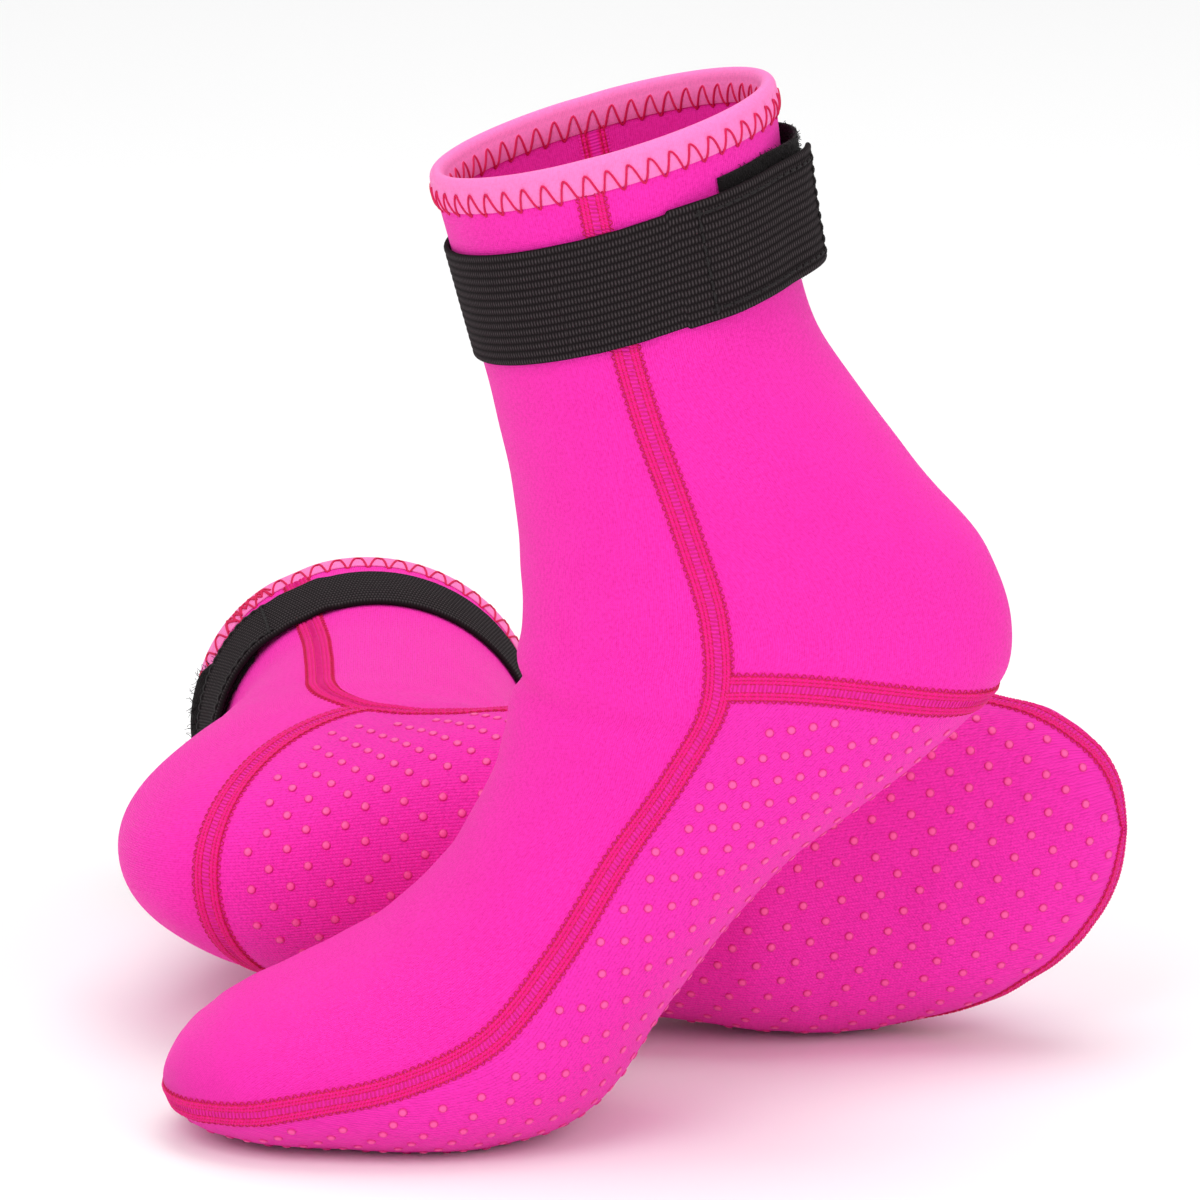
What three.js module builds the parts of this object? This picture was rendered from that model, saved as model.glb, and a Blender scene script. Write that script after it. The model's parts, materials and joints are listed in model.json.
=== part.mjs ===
// A pair of neoprene boots for water sports. The right boot stands on its forefoot with its
// heel raised; the left boot lies on its outer side behind it, sole to the front.
// Millimetres, +Z up. X runs from the right boot's toes to its heel, Y to the back.
//
// Every piece is laid on one skin per boot. A place on the skin is a station, counted from
// the cuff (0) to the tip of the toes (15), and a share of half the girth there, from 0 on
// the shin and instep to 1 on the heel and sole; a negative share is on the inner ankle's
// side. An offset lifts a place off the skin, and a negative one sinks it in.
import * as THREE from "three";

// ---- Driving sizes ----------------------------------------------------------------------
const FOOT_LENGTH = 271;         // heel to toe, outside, with the sole flat
const FOREFOOT_WIDTH = 93;       // across the ball of the foot, outside
const NEOPRENE = 3;              // thickness of the three panels
const FACET_SAG = 0.52;          // most that a panel's facet cuts inside the cuff's curve
const PANEL_GAP = 0.3;           // between panel edges that a seam joins
const SEAT = 0.5;                // clearance under what is sewn or laid on the skin

const SEAM_WIDTH = 9;            // flatlock seams
const SEAM_HEIGHT = 0.8;

const BINDING_DEPTH = 9;         // from the cuff's edge down
const BINDING_THICKNESS = 1;
const BINDING_SEAT = 0.5;
const THREAD = 0.7;              // zigzag and box stitches
const THREAD_SEAT = 0.3;
const ZIGZAG_PITCH = 5.6;
const ZIGZAG_HEIGHT = 6;
const ZIGZAG_LEAN = 0.16;        // how far a peak leans, in pitches

const STRAP_WIDTH = 30;
const STRAP_THICKNESS = 1.5;
const STRAP_DROP_FRONT = 20;     // cuff's edge to strap, at the shin
const STRAP_DROP_BACK = 18.5;    // and at the back
const TAPE_SEAT = 0.3;           // between the layers of the fastening
const LOOP_THICKNESS = 1;
const LOOP_WIDTH = 35;
const LOOP_DROP = 15;            // cuff's edge to the loop patch
const HOOK_THICKNESS = 1;
const TAPE_MARGIN = 2.5;         // tab's edge to the hook patch and to the box stitch
const STRAP_ANCHOR = 0.7;        // shares round the boot: where the strap is sewn down,
const STRAP_HINGE = -0.14;       // where its free length starts,
const TAB_HINGE = -0.59;         // where the tab starts
const TAB_END = -0.985;          // and ends
const HOOK_START = -0.7;
const LOOP_START = -0.72;
const LOOP_END = -1.24;          // past the back's middle, on the outer side
const STRAP_CUT = 0.5;           // gap where one length of strap swings on the next
const ANCHOR_STITCH = 12;        // length of the box stitch on the sewn end

// ---- The last ---------------------------------------------------------------------------
// Outline of the boot on tiptoe, x towards the toes, origin on the floor below the ball.
//   shin and instep    heel and sole    half    lean to    seam's share
//     x       z          x       z      width   big toe    of half girth
const LAST = [
  [  -8.4, 255.5,     -96.5, 280.0,    38.5,    0,       0.465],
  [ -17.8, 221.0,    -101.0, 243.0,    39.0,    0,       0.468],
  [ -26.1, 189.7,    -108.5, 214.0,    37.0,    0,       0.468],
  [ -31.0, 160.0,    -131.0, 181.0,    36.5,    0,       0.455],
  [ -32.0, 138.0,    -152.5, 154.0,    36.5,    0,       0.440],
  [ -30.8, 122.0,    -158.0, 125.0,    36.5,    0,       0.430],
  [ -27.5, 105.5,    -137.5, 101.5,    37.0,    0,       0.430],
  [ -22.5,  91.0,    -102.0,  74.0,    39.0,    0,       0.460],
  [ -13.0,  73.5,     -73.5,  39.5,    42.0,    0,       0.480],
  [   1.0,  58.5,     -53.0,   9.5,    45.0,    0,       0.475],
  [  19.0,  47.0,     -27.0,  -1.6,    45.8,    2,       0.475],
  [  37.0,  38.8,       6.0,  -2.0,    42.0,  5.5,       0.495],
  [  49.5,  31.8,      31.0,  -0.6,    35.0,    9,       0.515],
  [  57.5,  24.5,      47.0,   2.2,    25.0, 11.5,       0.515],
  [  61.2,  17.5,      56.5,   6.5,    14.0,   13,       0.510],
  [  61.6,  11.5,      61.6,  11.5,     0.0, 13.5,       0.505],
];
const LAST_LENGTH = 271;         // of that outline, its sole laid flat
const LAST_HALF_WIDTH = 46.5;
const TIP = LAST.length - 1;
const PANEL_END = TIP - 0.25;    // panels stop short of the tip, under the foot seam
const SHAFT_ROUNDNESS = 2;       // 2 is an ellipse, more is squarer
const INSTEP_ROUNDNESS = 2.1;
const SOLE_ROUNDNESS = 2.35;
const FOOT_STATION = 6;          // the section changes from shaft to foot around here
const HEEL_STATION = 4.6;        // the heel is narrower at the back around here
const HEEL_SPREAD = 1.7;
const HEEL_TAPER = 0.14;
const HEEL_SEAM_SIDE = 4.8;      // the heel seam's station at the side seams
const HEEL_SEAM_BACK = 5.35;     // and at the back

const alongScale = FOOT_LENGTH / LAST_LENGTH;
const acrossScale = FOREFOOT_WIDTH / 2 / LAST_HALF_WIDTH;
const seamTop = SEAT + SEAM_HEIGHT;
const strapTop = seamTop + SEAT + STRAP_THICKNESS;

// ---- How the two boots lie --------------------------------------------------------------
// A bend turns everything on the cuff's side of a pivot, spread over two stations.
const TOES_FLAT = { degrees: 45, x: -22, z: 28, from: 7.6, to: 11.4 };
const ANKLE_BACK = { degrees: -28, x: -95, z: 125, from: 2.6, to: 6.4 };
const LYING_X = 130;             // ball of the left foot, from the right boot's
const LYING_Y = 56;              // its sole, behind the right boot's middle
const SHAFT_TWIST = -0.07;       // the lying shaft rolls towards its back, as a share
const LYING_PRESS = 1;           // how far its outer side is pressed flat by the floor

const RIGHT = {
  name: "right",
  bends: [],
  lean: 0.55,
  widen: () => 1,
  twist: () => 0,
  floorLayer: () => 0,
  place: (p) => new THREE.Vector3(-p.x, p.y, p.z),
};
const LEFT = {
  name: "left",
  bends: [ANKLE_BACK, TOES_FLAT],
  lean: 1,
  widen: (station) => mix(1.08, 1.02, ease(1, 4, station)),
  twist: (station) => SHAFT_TWIST * (1 - ease(3, 8, station)),
  floorLayer: (station) => mix(strapTop, seamTop, ease(2.6, 4.4, station)),
  place: (p) => {
    const { tilt, height } = lying();
    const away = p.z * Math.cos(tilt) - p.y * Math.sin(tilt);
    const up = height - p.z * Math.sin(tilt) - p.y * Math.cos(tilt);
    return new THREE.Vector3(p.x + LYING_X, away + LYING_Y, up);
  },
};

// The lying boot rests on the outer edge of its ball and on its strap. From these two follow
// how far it tilts and how high its middle lies.
let lyingRest;
function lying() {
  if (lyingRest) return lyingRest;
  const [ball, ankle] = [[8, 11, seamTop], [1.2, 3, strapTop]].map(([from, to, layer]) => {
    let lowest = { out: -Infinity };
    for (let station = from; station <= to; station += 0.1) {
      for (let share = 0.3; share < 0.8; share += 0.01) {
        const p = bareSkin(LEFT, station, share);
        if (p.y + layer > lowest.out) lowest = { out: p.y + layer, away: p.z };
      }
    }
    return lowest;
  });
  const tilt = Math.atan2(ball.out - ankle.out, ankle.away - ball.away);
  const height = ball.out * Math.cos(tilt) + ball.away * Math.sin(tilt) - LYING_PRESS;
  lyingRest = { tilt, height };
  return lyingRest;
}

// ---- Small helpers ----------------------------------------------------------------------
function mix(a, b, f) { return a + (b - a) * f; }
function ease(from, to, value) {
  const f = Math.min(Math.max((value - from) / (to - from), 0), 1);
  return f * f * (3 - 2 * f);
}

// A smooth curve through the last's rows.
function lastAt(station) {
  const index = Math.min(Math.max(Math.floor(station), 0), TIP - 1);
  const f = station - index;
  const row = (k) => LAST[Math.min(Math.max(k, 0), TIP)];
  return LAST[index].map((_, column) => {
    const start = row(index)[column];
    const end = row(index + 1)[column];
    const before = index === 0 ? 2 * start - end : row(index - 1)[column];
    const after = index === TIP - 1 ? 2 * end - start : row(index + 2)[column];
    return 0.5 * (2 * start + (end - before) * f
      + (2 * before - 5 * start + 4 * end - after) * f * f
      + (3 * start - before - 3 * end + after) * f * f * f);
  });
}

// One section of a boot: its two outline points, half width and seam share.
const sections = new Map();
function section(boot, station) {
  const key = `${boot.name} ${station.toFixed(6)}`;
  if (sections.has(key)) return sections.get(key);
  const [frontX, frontZ, backX, backZ, half, lean, seam] = lastAt(station);
  const ends = [[frontX, frontZ], [backX, backZ]].map(([x, z]) => {
    const point = new THREE.Vector2(x, z);
    for (const bend of boot.bends) {
      const turn = THREE.MathUtils.degToRad(bend.degrees) * (1 - ease(bend.from, bend.to, station));
      point.rotateAround(new THREE.Vector2(bend.x, bend.z), turn);
    }
    return point.multiplyScalar(alongScale);
  });
  const [front, back] = ends;
  const halfWidth = Math.max(half, 0) * acrossScale * boot.widen(station);
  const foot = ease(FOOT_STATION - 2, FOOT_STATION + 2, station);
  const taper = HEEL_TAPER * Math.exp(-(((station - HEEL_STATION) / HEEL_SPREAD) ** 2));
  const halfChord = front.distanceTo(back) / 2;
  // Walk round the half section once, so that shares run evenly along the girth.
  const steps = 48;
  const walk = [];
  let girth = 0;
  for (let i = 0; i <= steps; i += 1) {
    const angle = (Math.PI * i) / steps;
    const cos = Math.cos(angle);
    const squareness = cos > 0
      ? mix(SHAFT_ROUNDNESS, INSTEP_ROUNDNESS, foot) : mix(SHAFT_ROUNDNESS, SOLE_ROUNDNESS, foot);
    const along = -Math.sign(cos) * Math.abs(cos) ** (2 / squareness);
    const across = Math.abs(Math.sin(angle)) ** (2 / squareness) * (1 - taper * along);
    if (i > 0) {
      const last = walk[i - 1];
      girth += Math.hypot((along - last.along) * halfChord, (across - last.across) * halfWidth);
    }
    walk.push({ along, across, girth });
  }
  const shift = lean * acrossScale * boot.lean;
  const result = { front, back, halfWidth, shift, seam, walk, girth };
  sections.set(key, result);
  return result;
}

// The bare skin, in the boot's own x, y (outwards) and z.
function bareSkin(boot, station, share) {
  const { front, back, halfWidth, shift, walk, girth } = section(boot, station);
  const twisted = share + boot.twist(station);
  const wrapped = twisted - 2 * Math.round(twisted / 2);
  const reach = Math.abs(wrapped) * girth;
  let i = 1;
  while (i < walk.length - 1 && walk[i].girth < reach) i += 1;
  const [low, high] = [walk[i - 1], walk[i]];
  const f = girth > 0 ? (reach - low.girth) / Math.max(high.girth - low.girth, 1e-9) : 0;
  const along = (1 + mix(low.along, high.along, f)) / 2;
  const across = mix(low.across, high.across, f) * Math.sign(wrapped);
  return new THREE.Vector3(
    mix(front.x, back.x, along), across * halfWidth - shift, mix(front.y, back.y, along));
}

function skinNormal(boot, station, share) {
  const s = Math.min(station, TIP - 0.06);
  const alongStep = bareSkin(boot, s + 0.05, share).sub(bareSkin(boot, s - 0.05, share));
  const roundStep = bareSkin(boot, s, share + 0.01).sub(bareSkin(boot, s, share - 0.01));
  const normal = alongStep.cross(roundStep).normalize();
  const { front, back } = section(boot, TIP - 1);
  const nose = bareSkin(boot, TIP, 0);
  nose.sub(new THREE.Vector3((front.x + back.x) / 2 - 8, nose.y, (front.y + back.y) / 2));
  return normal.lerp(nose.normalize(), ease(TIP - 0.6, TIP, station)).normalize();
}

// A point of a layer, placed in the pair, pressed flat where it would pass the floor.
function layerPoint(boot, station, share, offset) {
  const local = bareSkin(boot, station, share);
  local.addScaledVector(skinNormal(boot, station, share), offset);
  const point = boot.place(local);
  point.z = Math.max(point.z, boot.floorLayer(station) - offset);
  return point;
}

function seamShare(boot, station) { return section(boot, station).seam; }
function shareFor(boot, station, length) { return length / section(boot, station).girth; }

// The station reached by going a length along the skin from another station.
function stationPast(boot, start, share, length) {
  const step = 0.02 * Math.sign(length);
  let station = start;
  let left = Math.abs(length);
  while (left > 0) {
    const here = bareSkin(boot, station, share);
    const size = here.distanceTo(bareSkin(boot, station + step, share));
    if (size >= left) return station + step * (left / size);
    left -= size;
    station += step;
  }
  return station;
}
function stationBelowCuff(boot, share, drop) { return stationPast(boot, 0, share, drop); }

// ---- Solids -----------------------------------------------------------------------------
// A closed solid from quads and triangles of points: shared corners merged, facing outwards.
function solid(faces) {
  const corners = [];
  const known = new Map();
  const index = (p) => {
    const key = [p.x, p.y, p.z].map((value) => Math.round(value * 1e4)).join();
    if (!known.has(key)) known.set(key, corners.push(p) - 1);
    return known.get(key);
  };
  const triangles = [];
  for (const [a, b, c, d] of faces) {
    const wanted = d === undefined ? [[a, b, c]] : [[a, b, c], [a, c, d]];
    for (const triangle of wanted.map((points) => points.map(index))) {
      if (new Set(triangle).size === 3) triangles.push(triangle);
    }
  }
  const volume = triangles.reduce((sum, [a, b, c]) => sum
    + corners[a].dot(new THREE.Vector3().crossVectors(corners[b], corners[c])), 0);
  const order = volume > 0 ? [0, 1, 2] : [0, 2, 1];
  const geometry = new THREE.BufferGeometry();
  geometry.setAttribute("position",
    new THREE.Float32BufferAttribute(corners.flatMap((p) => p.toArray()), 3));
  geometry.setIndex(triangles.flatMap((triangle) => order.map((k) => triangle[k])));
  geometry.computeVertexNormals();
  return geometry;
}

// A slab between two offsets over a patch of skin. `at(a, b)` gives a place for two shares
// of the patch from 0 to 1; `low` and `high` are offsets, or functions of share and station.
function slab(boot, rows, columns, at, low, high) {
  const level = (offset, share, station) => (
    typeof offset === "function" ? offset(share, station) : offset);
  const grid = [low, high].map((offset) => {
    const points = [];
    for (let i = 0; i <= rows; i += 1) {
      points.push([]);
      for (let j = 0; j <= columns; j += 1) {
        const [station, share] = at(i / rows, j / columns);
        points[i].push(layerPoint(boot, station, share, level(offset, share, station)));
      }
    }
    return points;
  });
  const [under, over] = grid;
  const faces = [];
  for (let i = 0; i < rows; i += 1) {
    for (let j = 0; j < columns; j += 1) {
      faces.push([over[i][j], over[i + 1][j], over[i + 1][j + 1], over[i][j + 1]]);
      faces.push([under[i][j], under[i][j + 1], under[i + 1][j + 1], under[i + 1][j]]);
    }
    faces.push([under[i][0], under[i + 1][0], over[i + 1][0], over[i][0]]);
    faces.push([over[i][columns], over[i + 1][columns], under[i + 1][columns], under[i][columns]]);
  }
  for (let j = 0; j < columns; j += 1) {
    faces.push([over[0][j], over[0][j + 1], under[0][j + 1], under[0][j]]);
    faces.push([under[rows][j], under[rows][j + 1], over[rows][j + 1], over[rows][j]]);
  }
  return solid(faces);
}

// A tube swept round a closed loop of rings of points.
function loop(rings) {
  const faces = [];
  rings.forEach((ring, i) => {
    const next = rings[(i + 1) % rings.length];
    ring.forEach((point, k) => {
      const other = (k + 1) % ring.length;
      faces.push([point, next[k], next[other], ring[other]]);
    });
  });
  return solid(faces);
}

// ---- Panels -----------------------------------------------------------------------------
// Spread columns so that the outermost ones are as wide as the seam that covers them.
function columnShare(boot, station, from, to, b, columns) {
  const edge = Math.min(shareFor(boot, station, SEAM_WIDTH / 2), (to - from) / columns);
  const j = Math.round(b * columns);
  if (j === 0) return from;
  if (j === columns) return to;
  return mix(from + edge, to - edge, (j - 1) / (columns - 2));
}
// Likewise the row next to the heel seam, given the stations of the panel's two ends.
function rowStation(boot, share, far, near, a, rows) {
  const edge = stationPast(boot, near, share, Math.sign(far - near) * (SEAM_WIDTH / 2));
  return a === 1 ? near : mix(far, edge, (a * rows) / (rows - 1));
}
function halfGap(boot, station) { return shareFor(boot, station, PANEL_GAP / 2); }
function panelTop(boot, share) {
  return stationBelowCuff(boot, share, BINDING_SEAT + BINDING_THICKNESS);
}
// Station of the heel seam; w runs from the inner side seam (0) round the heel (1).
function heelStation(w) {
  return mix(HEEL_SEAM_SIDE, HEEL_SEAM_BACK, ease(0, 1, 1 - Math.abs(2 * w - 1)));
}
function backShare(boot, station, w, margin) {
  const from = seamShare(boot, station) + shareFor(boot, station, margin);
  return -mix(from, 2 - from, w);
}

// Rows of the back panel and of the sole at w; the front panel's rows follow both of them,
// so that the edges that meet at a seam bend alike.
const BACK_ROWS = 9;
const SOLE_ROWS = 15;
const BACK_COLUMNS = 24;         // round the heel, on the back panel and the sole alike
function backRow(boot, w, a) {
  const seam = heelStation(w);
  const share = backShare(boot, seam, w, 0);
  const top = panelTop(boot, backShare(boot, 0, w, 0));
  return rowStation(boot, share, top, stationPast(boot, seam, share, -PANEL_GAP / 2), a, BACK_ROWS);
}
function soleRow(boot, w, a) {
  const seam = heelStation(w);
  const share = backShare(boot, seam, w, 0);
  const top = stationPast(boot, seam, share, PANEL_GAP / 2);
  return rowStation(boot, share, PANEL_END, top, 1 - a, SOLE_ROWS);
}

// As many columns as the tightest curve of the cuff, at the shin, needs under the binding.
function frontColumns(boot) {
  const { front, back, halfWidth, girth, seam } = section(boot, 0);
  const tightest = halfWidth ** 2 / (front.distanceTo(back) / 2);
  const facet = Math.sqrt(8 * tightest * FACET_SAG);
  return 2 + Math.ceil((2 * seam * girth - SEAM_WIDTH) / facet);
}
function frontPanel(boot) {
  const [rows, columns] = [BACK_ROWS + SOLE_ROWS, frontColumns(boot)];
  const edgeTop = backRow(boot, 0, 0);
  return slab(boot, rows, columns, (a, b) => {
    const i = Math.round(a * rows);
    const beside = i <= BACK_ROWS
      ? backRow(boot, 0, i / BACK_ROWS) : soleRow(boot, 0, (i - BACK_ROWS) / SOLE_ROWS);
    const top = panelTop(boot, mix(-1, 1, b) * seamShare(boot, 0));
    const station = beside + (top - edgeTop) * (1 - ease(0, 2, beside));
    const edge = seamShare(boot, station) - halfGap(boot, station);
    return [station, columnShare(boot, station, -edge, edge, b, columns)];
  }, -NEOPRENE, 0);
}
function panelBehind(boot, rows, rowAt) {
  return slab(boot, rows, BACK_COLUMNS, (a, w) => {
    const station = rowAt(boot, w, a);
    const edge = seamShare(boot, station) + halfGap(boot, station);
    return [station, -columnShare(boot, station, edge, 2 - edge, w, BACK_COLUMNS)];
  }, -NEOPRENE, 0);
}
function backPanel(boot) { return panelBehind(boot, BACK_ROWS, backRow); }
function solePanel(boot) { return panelBehind(boot, SOLE_ROWS, soleRow); }

// ---- Seams ------------------------------------------------------------------------------
const SEAM_BREAK = 0.4;          // half the gap where one seam meets the next
function beyondHeelSeam(boot, length) {
  return stationPast(boot, HEEL_SEAM_SIDE, seamShare(boot, HEEL_SEAM_SIDE), length);
}

function sideSeam(boot, side) {
  return slab(boot, 16, 2, (a, b) => {
    const top = stationBelowCuff(boot, side * seamShare(boot, 0), BINDING_DEPTH + SEAT);
    const station = mix(top, beyondHeelSeam(boot, -SEAM_BREAK), a);
    const across = shareFor(boot, station, SEAM_WIDTH * (b - 0.5));
    return [station, side * (seamShare(boot, station) + across)];
  }, SEAT, seamTop);
}

// The foot seam's lines run from the inner ankle round the toes to the outer one. Above and
// below the tip they turn where the section is as small as the seam is wide.
function turningStation(boot, across) {
  if (across === 0) return TIP;
  let [low, high] = [HEEL_SEAM_SIDE, TIP];
  for (let i = 0; i < 40; i += 1) {
    const middle = (low + high) / 2;
    const seam = seamShare(boot, middle);
    const room = (across < 0 ? seam : 1 - seam) * section(boot, middle).girth;
    if (room > Math.abs(across)) low = middle;
    else high = middle;
  }
  return low;
}
function footSeam(boot) {
  return slab(boot, 56, 2, (a, b) => {
    const across = SEAM_WIDTH * (b - 0.5);
    const run = 1 - Math.abs(2 * a - 1);
    const station = mix(beyondHeelSeam(boot, SEAM_BREAK), turningStation(boot, across), run);
    const shift = run === 1
      ? Math.sign(across) * (across < 0 ? seamShare(boot, station) : 1 - seamShare(boot, station))
      : shareFor(boot, station, across);
    return [station, (a < 0.5 ? -1 : 1) * (seamShare(boot, station) + shift)];
  }, SEAT, seamTop);
}
// The heel seam's columns are the panels' own, less the ones under the foot seam.
function heelSeam(boot) {
  const columns = BACK_COLUMNS - 2;
  return slab(boot, columns, 2, (a, b) => {
    const w = (1 + a * columns) / BACK_COLUMNS;
    const seam = heelStation(w);
    const edge = seamShare(boot, seam) + halfGap(boot, seam);
    const column = columnShare(boot, seam, edge, 2 - edge, w, BACK_COLUMNS);
    const trim = shareFor(boot, seam, SEAM_BREAK) * (a === 0 ? 1 : a === 1 ? -1 : 0);
    const share = -(column + trim);
    return [stationPast(boot, seam, share, SEAM_WIDTH * (b - 0.5) || 1e-6), share];
  }, SEAT, seamTop);
}

// ---- Cuff -------------------------------------------------------------------------------
function cuffBinding(boot) {
  const inside = -NEOPRENE - BINDING_SEAT;
  const outer = BINDING_SEAT + BINDING_THICKNESS;
  const profile = [
    [BINDING_DEPTH, BINDING_SEAT], [BINDING_DEPTH, outer], [BINDING_THICKNESS, outer],
    [0, BINDING_SEAT], [0, inside], [BINDING_THICKNESS, inside - BINDING_THICKNESS],
    [BINDING_DEPTH, inside - BINDING_THICKNESS], [BINDING_DEPTH, inside],
    [BINDING_THICKNESS, inside], [BINDING_THICKNESS, BINDING_SEAT],
  ];
  const columns = 36;
  return loop(Array.from({ length: columns }, (_, k) => {
    const share = (2 * k) / columns - 1;
    return profile.map(([drop, offset]) => (
      layerPoint(boot, stationBelowCuff(boot, share, drop), share, offset)));
  }));
}

// A zigzag of thread across the binding's lower edge.
function cuffZigzag(boot) {
  const count = Math.round((2 * section(boot, 0).girth) / ZIGZAG_PITCH);
  const middle = BINDING_DEPTH - 1;
  const above = BINDING_SEAT + BINDING_THICKNESS + THREAD_SEAT;
  const mitre = (THREAD / 2) * Math.hypot(1, ZIGZAG_HEIGHT / (ZIGZAG_PITCH / 2));
  const rings = [];
  for (let k = 0; k < 2 * count; k += 1) {
    const share = (k + (k % 2 ? 2 * ZIGZAG_LEAN : 0)) / count - 1;
    const drop = middle + (k % 2 ? -1 : 1) * (ZIGZAG_HEIGHT / 2);
    const corners = [[-mitre, 0], [0, THREAD], [mitre, 0]];
    rings.push(corners.map(([down, up]) => (
      layerPoint(boot, stationBelowCuff(boot, share, drop + down), share, above + up))));
  }
  return loop(rings);
}

// ---- Strap and its fastening ------------------------------------------------------------
function strapDrop(share) {
  return mix(STRAP_DROP_FRONT, STRAP_DROP_BACK, (1 - Math.cos(Math.PI * share)) / 2);
}
// The strap lies on the skin, rises over the two side seams and over the hook and loop.
const tapeTop = SEAT + LOOP_THICKNESS + TAPE_SEAT + HOOK_THICKNESS + TAPE_SEAT;
function strapUnder(boot, share, station) {
  const away = (Math.abs(share) - seamShare(boot, station)) * section(boot, station).girth;
  const overSeam = 1 - ease(SEAM_WIDTH / 2 + 1.5, SEAM_WIDTH / 2 + 6, Math.abs(away));
  const onSeam = SEAT + overSeam * seamTop;
  return mix(onSeam, tapeTop, ease(-TAB_HINGE, -HOOK_START - 0.02, -share));
}
function strapLength(boot, from, to, columns) {
  const under = (share, station) => strapUnder(boot, share, station);
  const over = (share, station) => strapUnder(boot, share, station) + STRAP_THICKNESS;
  return slab(boot, 3, columns, (a, b) => {
    const share = mix(from, to, b);
    return [stationBelowCuff(boot, share, strapDrop(share) + STRAP_WIDTH * a), share];
  }, under, over);
}
function strapCut(boot) { return shareFor(boot, 2, STRAP_CUT / 2); }

function anchoredStrap(boot) {
  return strapLength(boot, STRAP_ANCHOR, STRAP_HINGE + strapCut(boot), 26);
}
function freeStrap(boot) {
  return strapLength(boot, STRAP_HINGE - strapCut(boot), TAB_HINGE + strapCut(boot), 16);
}
function strapTab(boot) {
  return strapLength(boot, TAB_HINGE - strapCut(boot), TAB_END, 16);
}
function hookPatch(boot) {
  const low = SEAT + LOOP_THICKNESS + TAPE_SEAT;
  return slab(boot, 3, 10, (a, b) => {
    const end = TAB_END + shareFor(boot, 2, TAPE_MARGIN);
    const share = mix(HOOK_START - 0.02, end, b);
    const drop = strapDrop(share) + mix(TAPE_MARGIN, STRAP_WIDTH - TAPE_MARGIN, a);
    return [stationBelowCuff(boot, share, drop), share];
  }, low, low + HOOK_THICKNESS);
}
function loopPatch(boot) {
  return slab(boot, 4, 18, (a, b) => {
    const share = mix(LOOP_START, LOOP_END, b);
    return [stationBelowCuff(boot, share, LOOP_DROP + LOOP_WIDTH * a), share];
  }, SEAT, SEAT + LOOP_THICKNESS);
}

// A rectangle of thread laid on the strap between two shares, with mitred corners.
function boxStitch(boot, from, to) {
  const [long, short] = [10, 4];
  const steps = (count) => Array.from({ length: count }, (_, i) => i / count);
  const path = [
    ...steps(long).map((f) => [f, 0]), ...steps(short).map((f) => [1, f]),
    ...steps(long).map((f) => [1 - f, 1]), ...steps(short).map((f) => [0, 1 - f]),
  ];
  const halfShare = Math.sign(to - from) * shareFor(boot, 2, THREAD / 2);
  const outwards = (place) => (place === 1 ? 1 : place === 0 ? -1 : 0);
  const across = [[1, 0], [1, THREAD], [-1, THREAD], [-1, 0]];
  return loop(path.map(([b, a]) => across.map(([out, up]) => {
    const share = mix(from, to, b) + outwards(b) * out * halfShare;
    const inside = mix(TAPE_MARGIN, STRAP_WIDTH - TAPE_MARGIN, a);
    const drop = strapDrop(share) + inside + outwards(a) * out * (THREAD / 2);
    const station = stationBelowCuff(boot, share, drop);
    const lift = strapUnder(boot, share, station) + STRAP_THICKNESS + THREAD_SEAT;
    return layerPoint(boot, station, share, lift + up);
  })));
}
function tabStitch(boot) {
  const margin = shareFor(boot, 2, TAPE_MARGIN);
  return boxStitch(boot, HOOK_START, TAB_END + margin);
}
function anchorStitch(boot) {
  const margin = shareFor(boot, 2, TAPE_MARGIN);
  const length = shareFor(boot, 2, ANCHOR_STITCH);
  return boxStitch(boot, STRAP_ANCHOR - margin - length, STRAP_ANCHOR - margin);
}

// ---- Finishes ---------------------------------------------------------------------------
const finish = (color, roughness) => ({ color, roughness, metalness: 0 });
const KNIT = finish(0xff2db9, 0.75);
const SOLE_KNIT = finish(0xf52bb4, 0.8);
const BINDING = finish(0xff6cba, 0.7);
const SEAM = finish(0xe0307a, 0.8);
const STITCH = finish(0xc01450, 0.6);
const ELASTIC = finish(0x2c2728, 0.8);
const TAPE = finish(0x1d1a1b, 0.95);
const BLACK_THREAD = finish(0x161415, 0.7);

const PIECES = [
  ["front_panel", frontPanel, KNIT],
  ["back_panel", backPanel, KNIT],
  ["sole_panel", solePanel, SOLE_KNIT],
  ["inner_side_seam", (boot) => sideSeam(boot, -1), SEAM],
  ["outer_side_seam", (boot) => sideSeam(boot, 1), SEAM],
  ["foot_seam", footSeam, SEAM],
  ["heel_seam", heelSeam, SEAM],
  ["cuff_binding", cuffBinding, BINDING],
  ["cuff_zigzag_stitch", cuffZigzag, STITCH],
  ["ankle_strap", anchoredStrap, ELASTIC],
  ["strap_free_length", freeStrap, ELASTIC],
  ["strap_tab", strapTab, ELASTIC],
  ["tab_hook_patch", hookPatch, TAPE],
  ["back_loop_patch", loopPatch, TAPE],
  ["tab_box_stitch", tabStitch, BLACK_THREAD],
  ["anchor_box_stitch", anchorStitch, BLACK_THREAD],
];

// ---- The pair ---------------------------------------------------------------------------
// A hinge line lies on the strap's outer face, across its width.
function hingeLine(boot, share) {
  const ends = [0, STRAP_WIDTH].map((width) => {
    const station = stationBelowCuff(boot, share, strapDrop(share) + width);
    const over = strapUnder(boot, share, station) + STRAP_THICKNESS;
    return layerPoint(boot, station, share, over);
  });
  return { point: ends[0].clone().lerp(ends[1], 0.5), axis: ends[1].clone().sub(ends[0]).normalize() };
}

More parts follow.
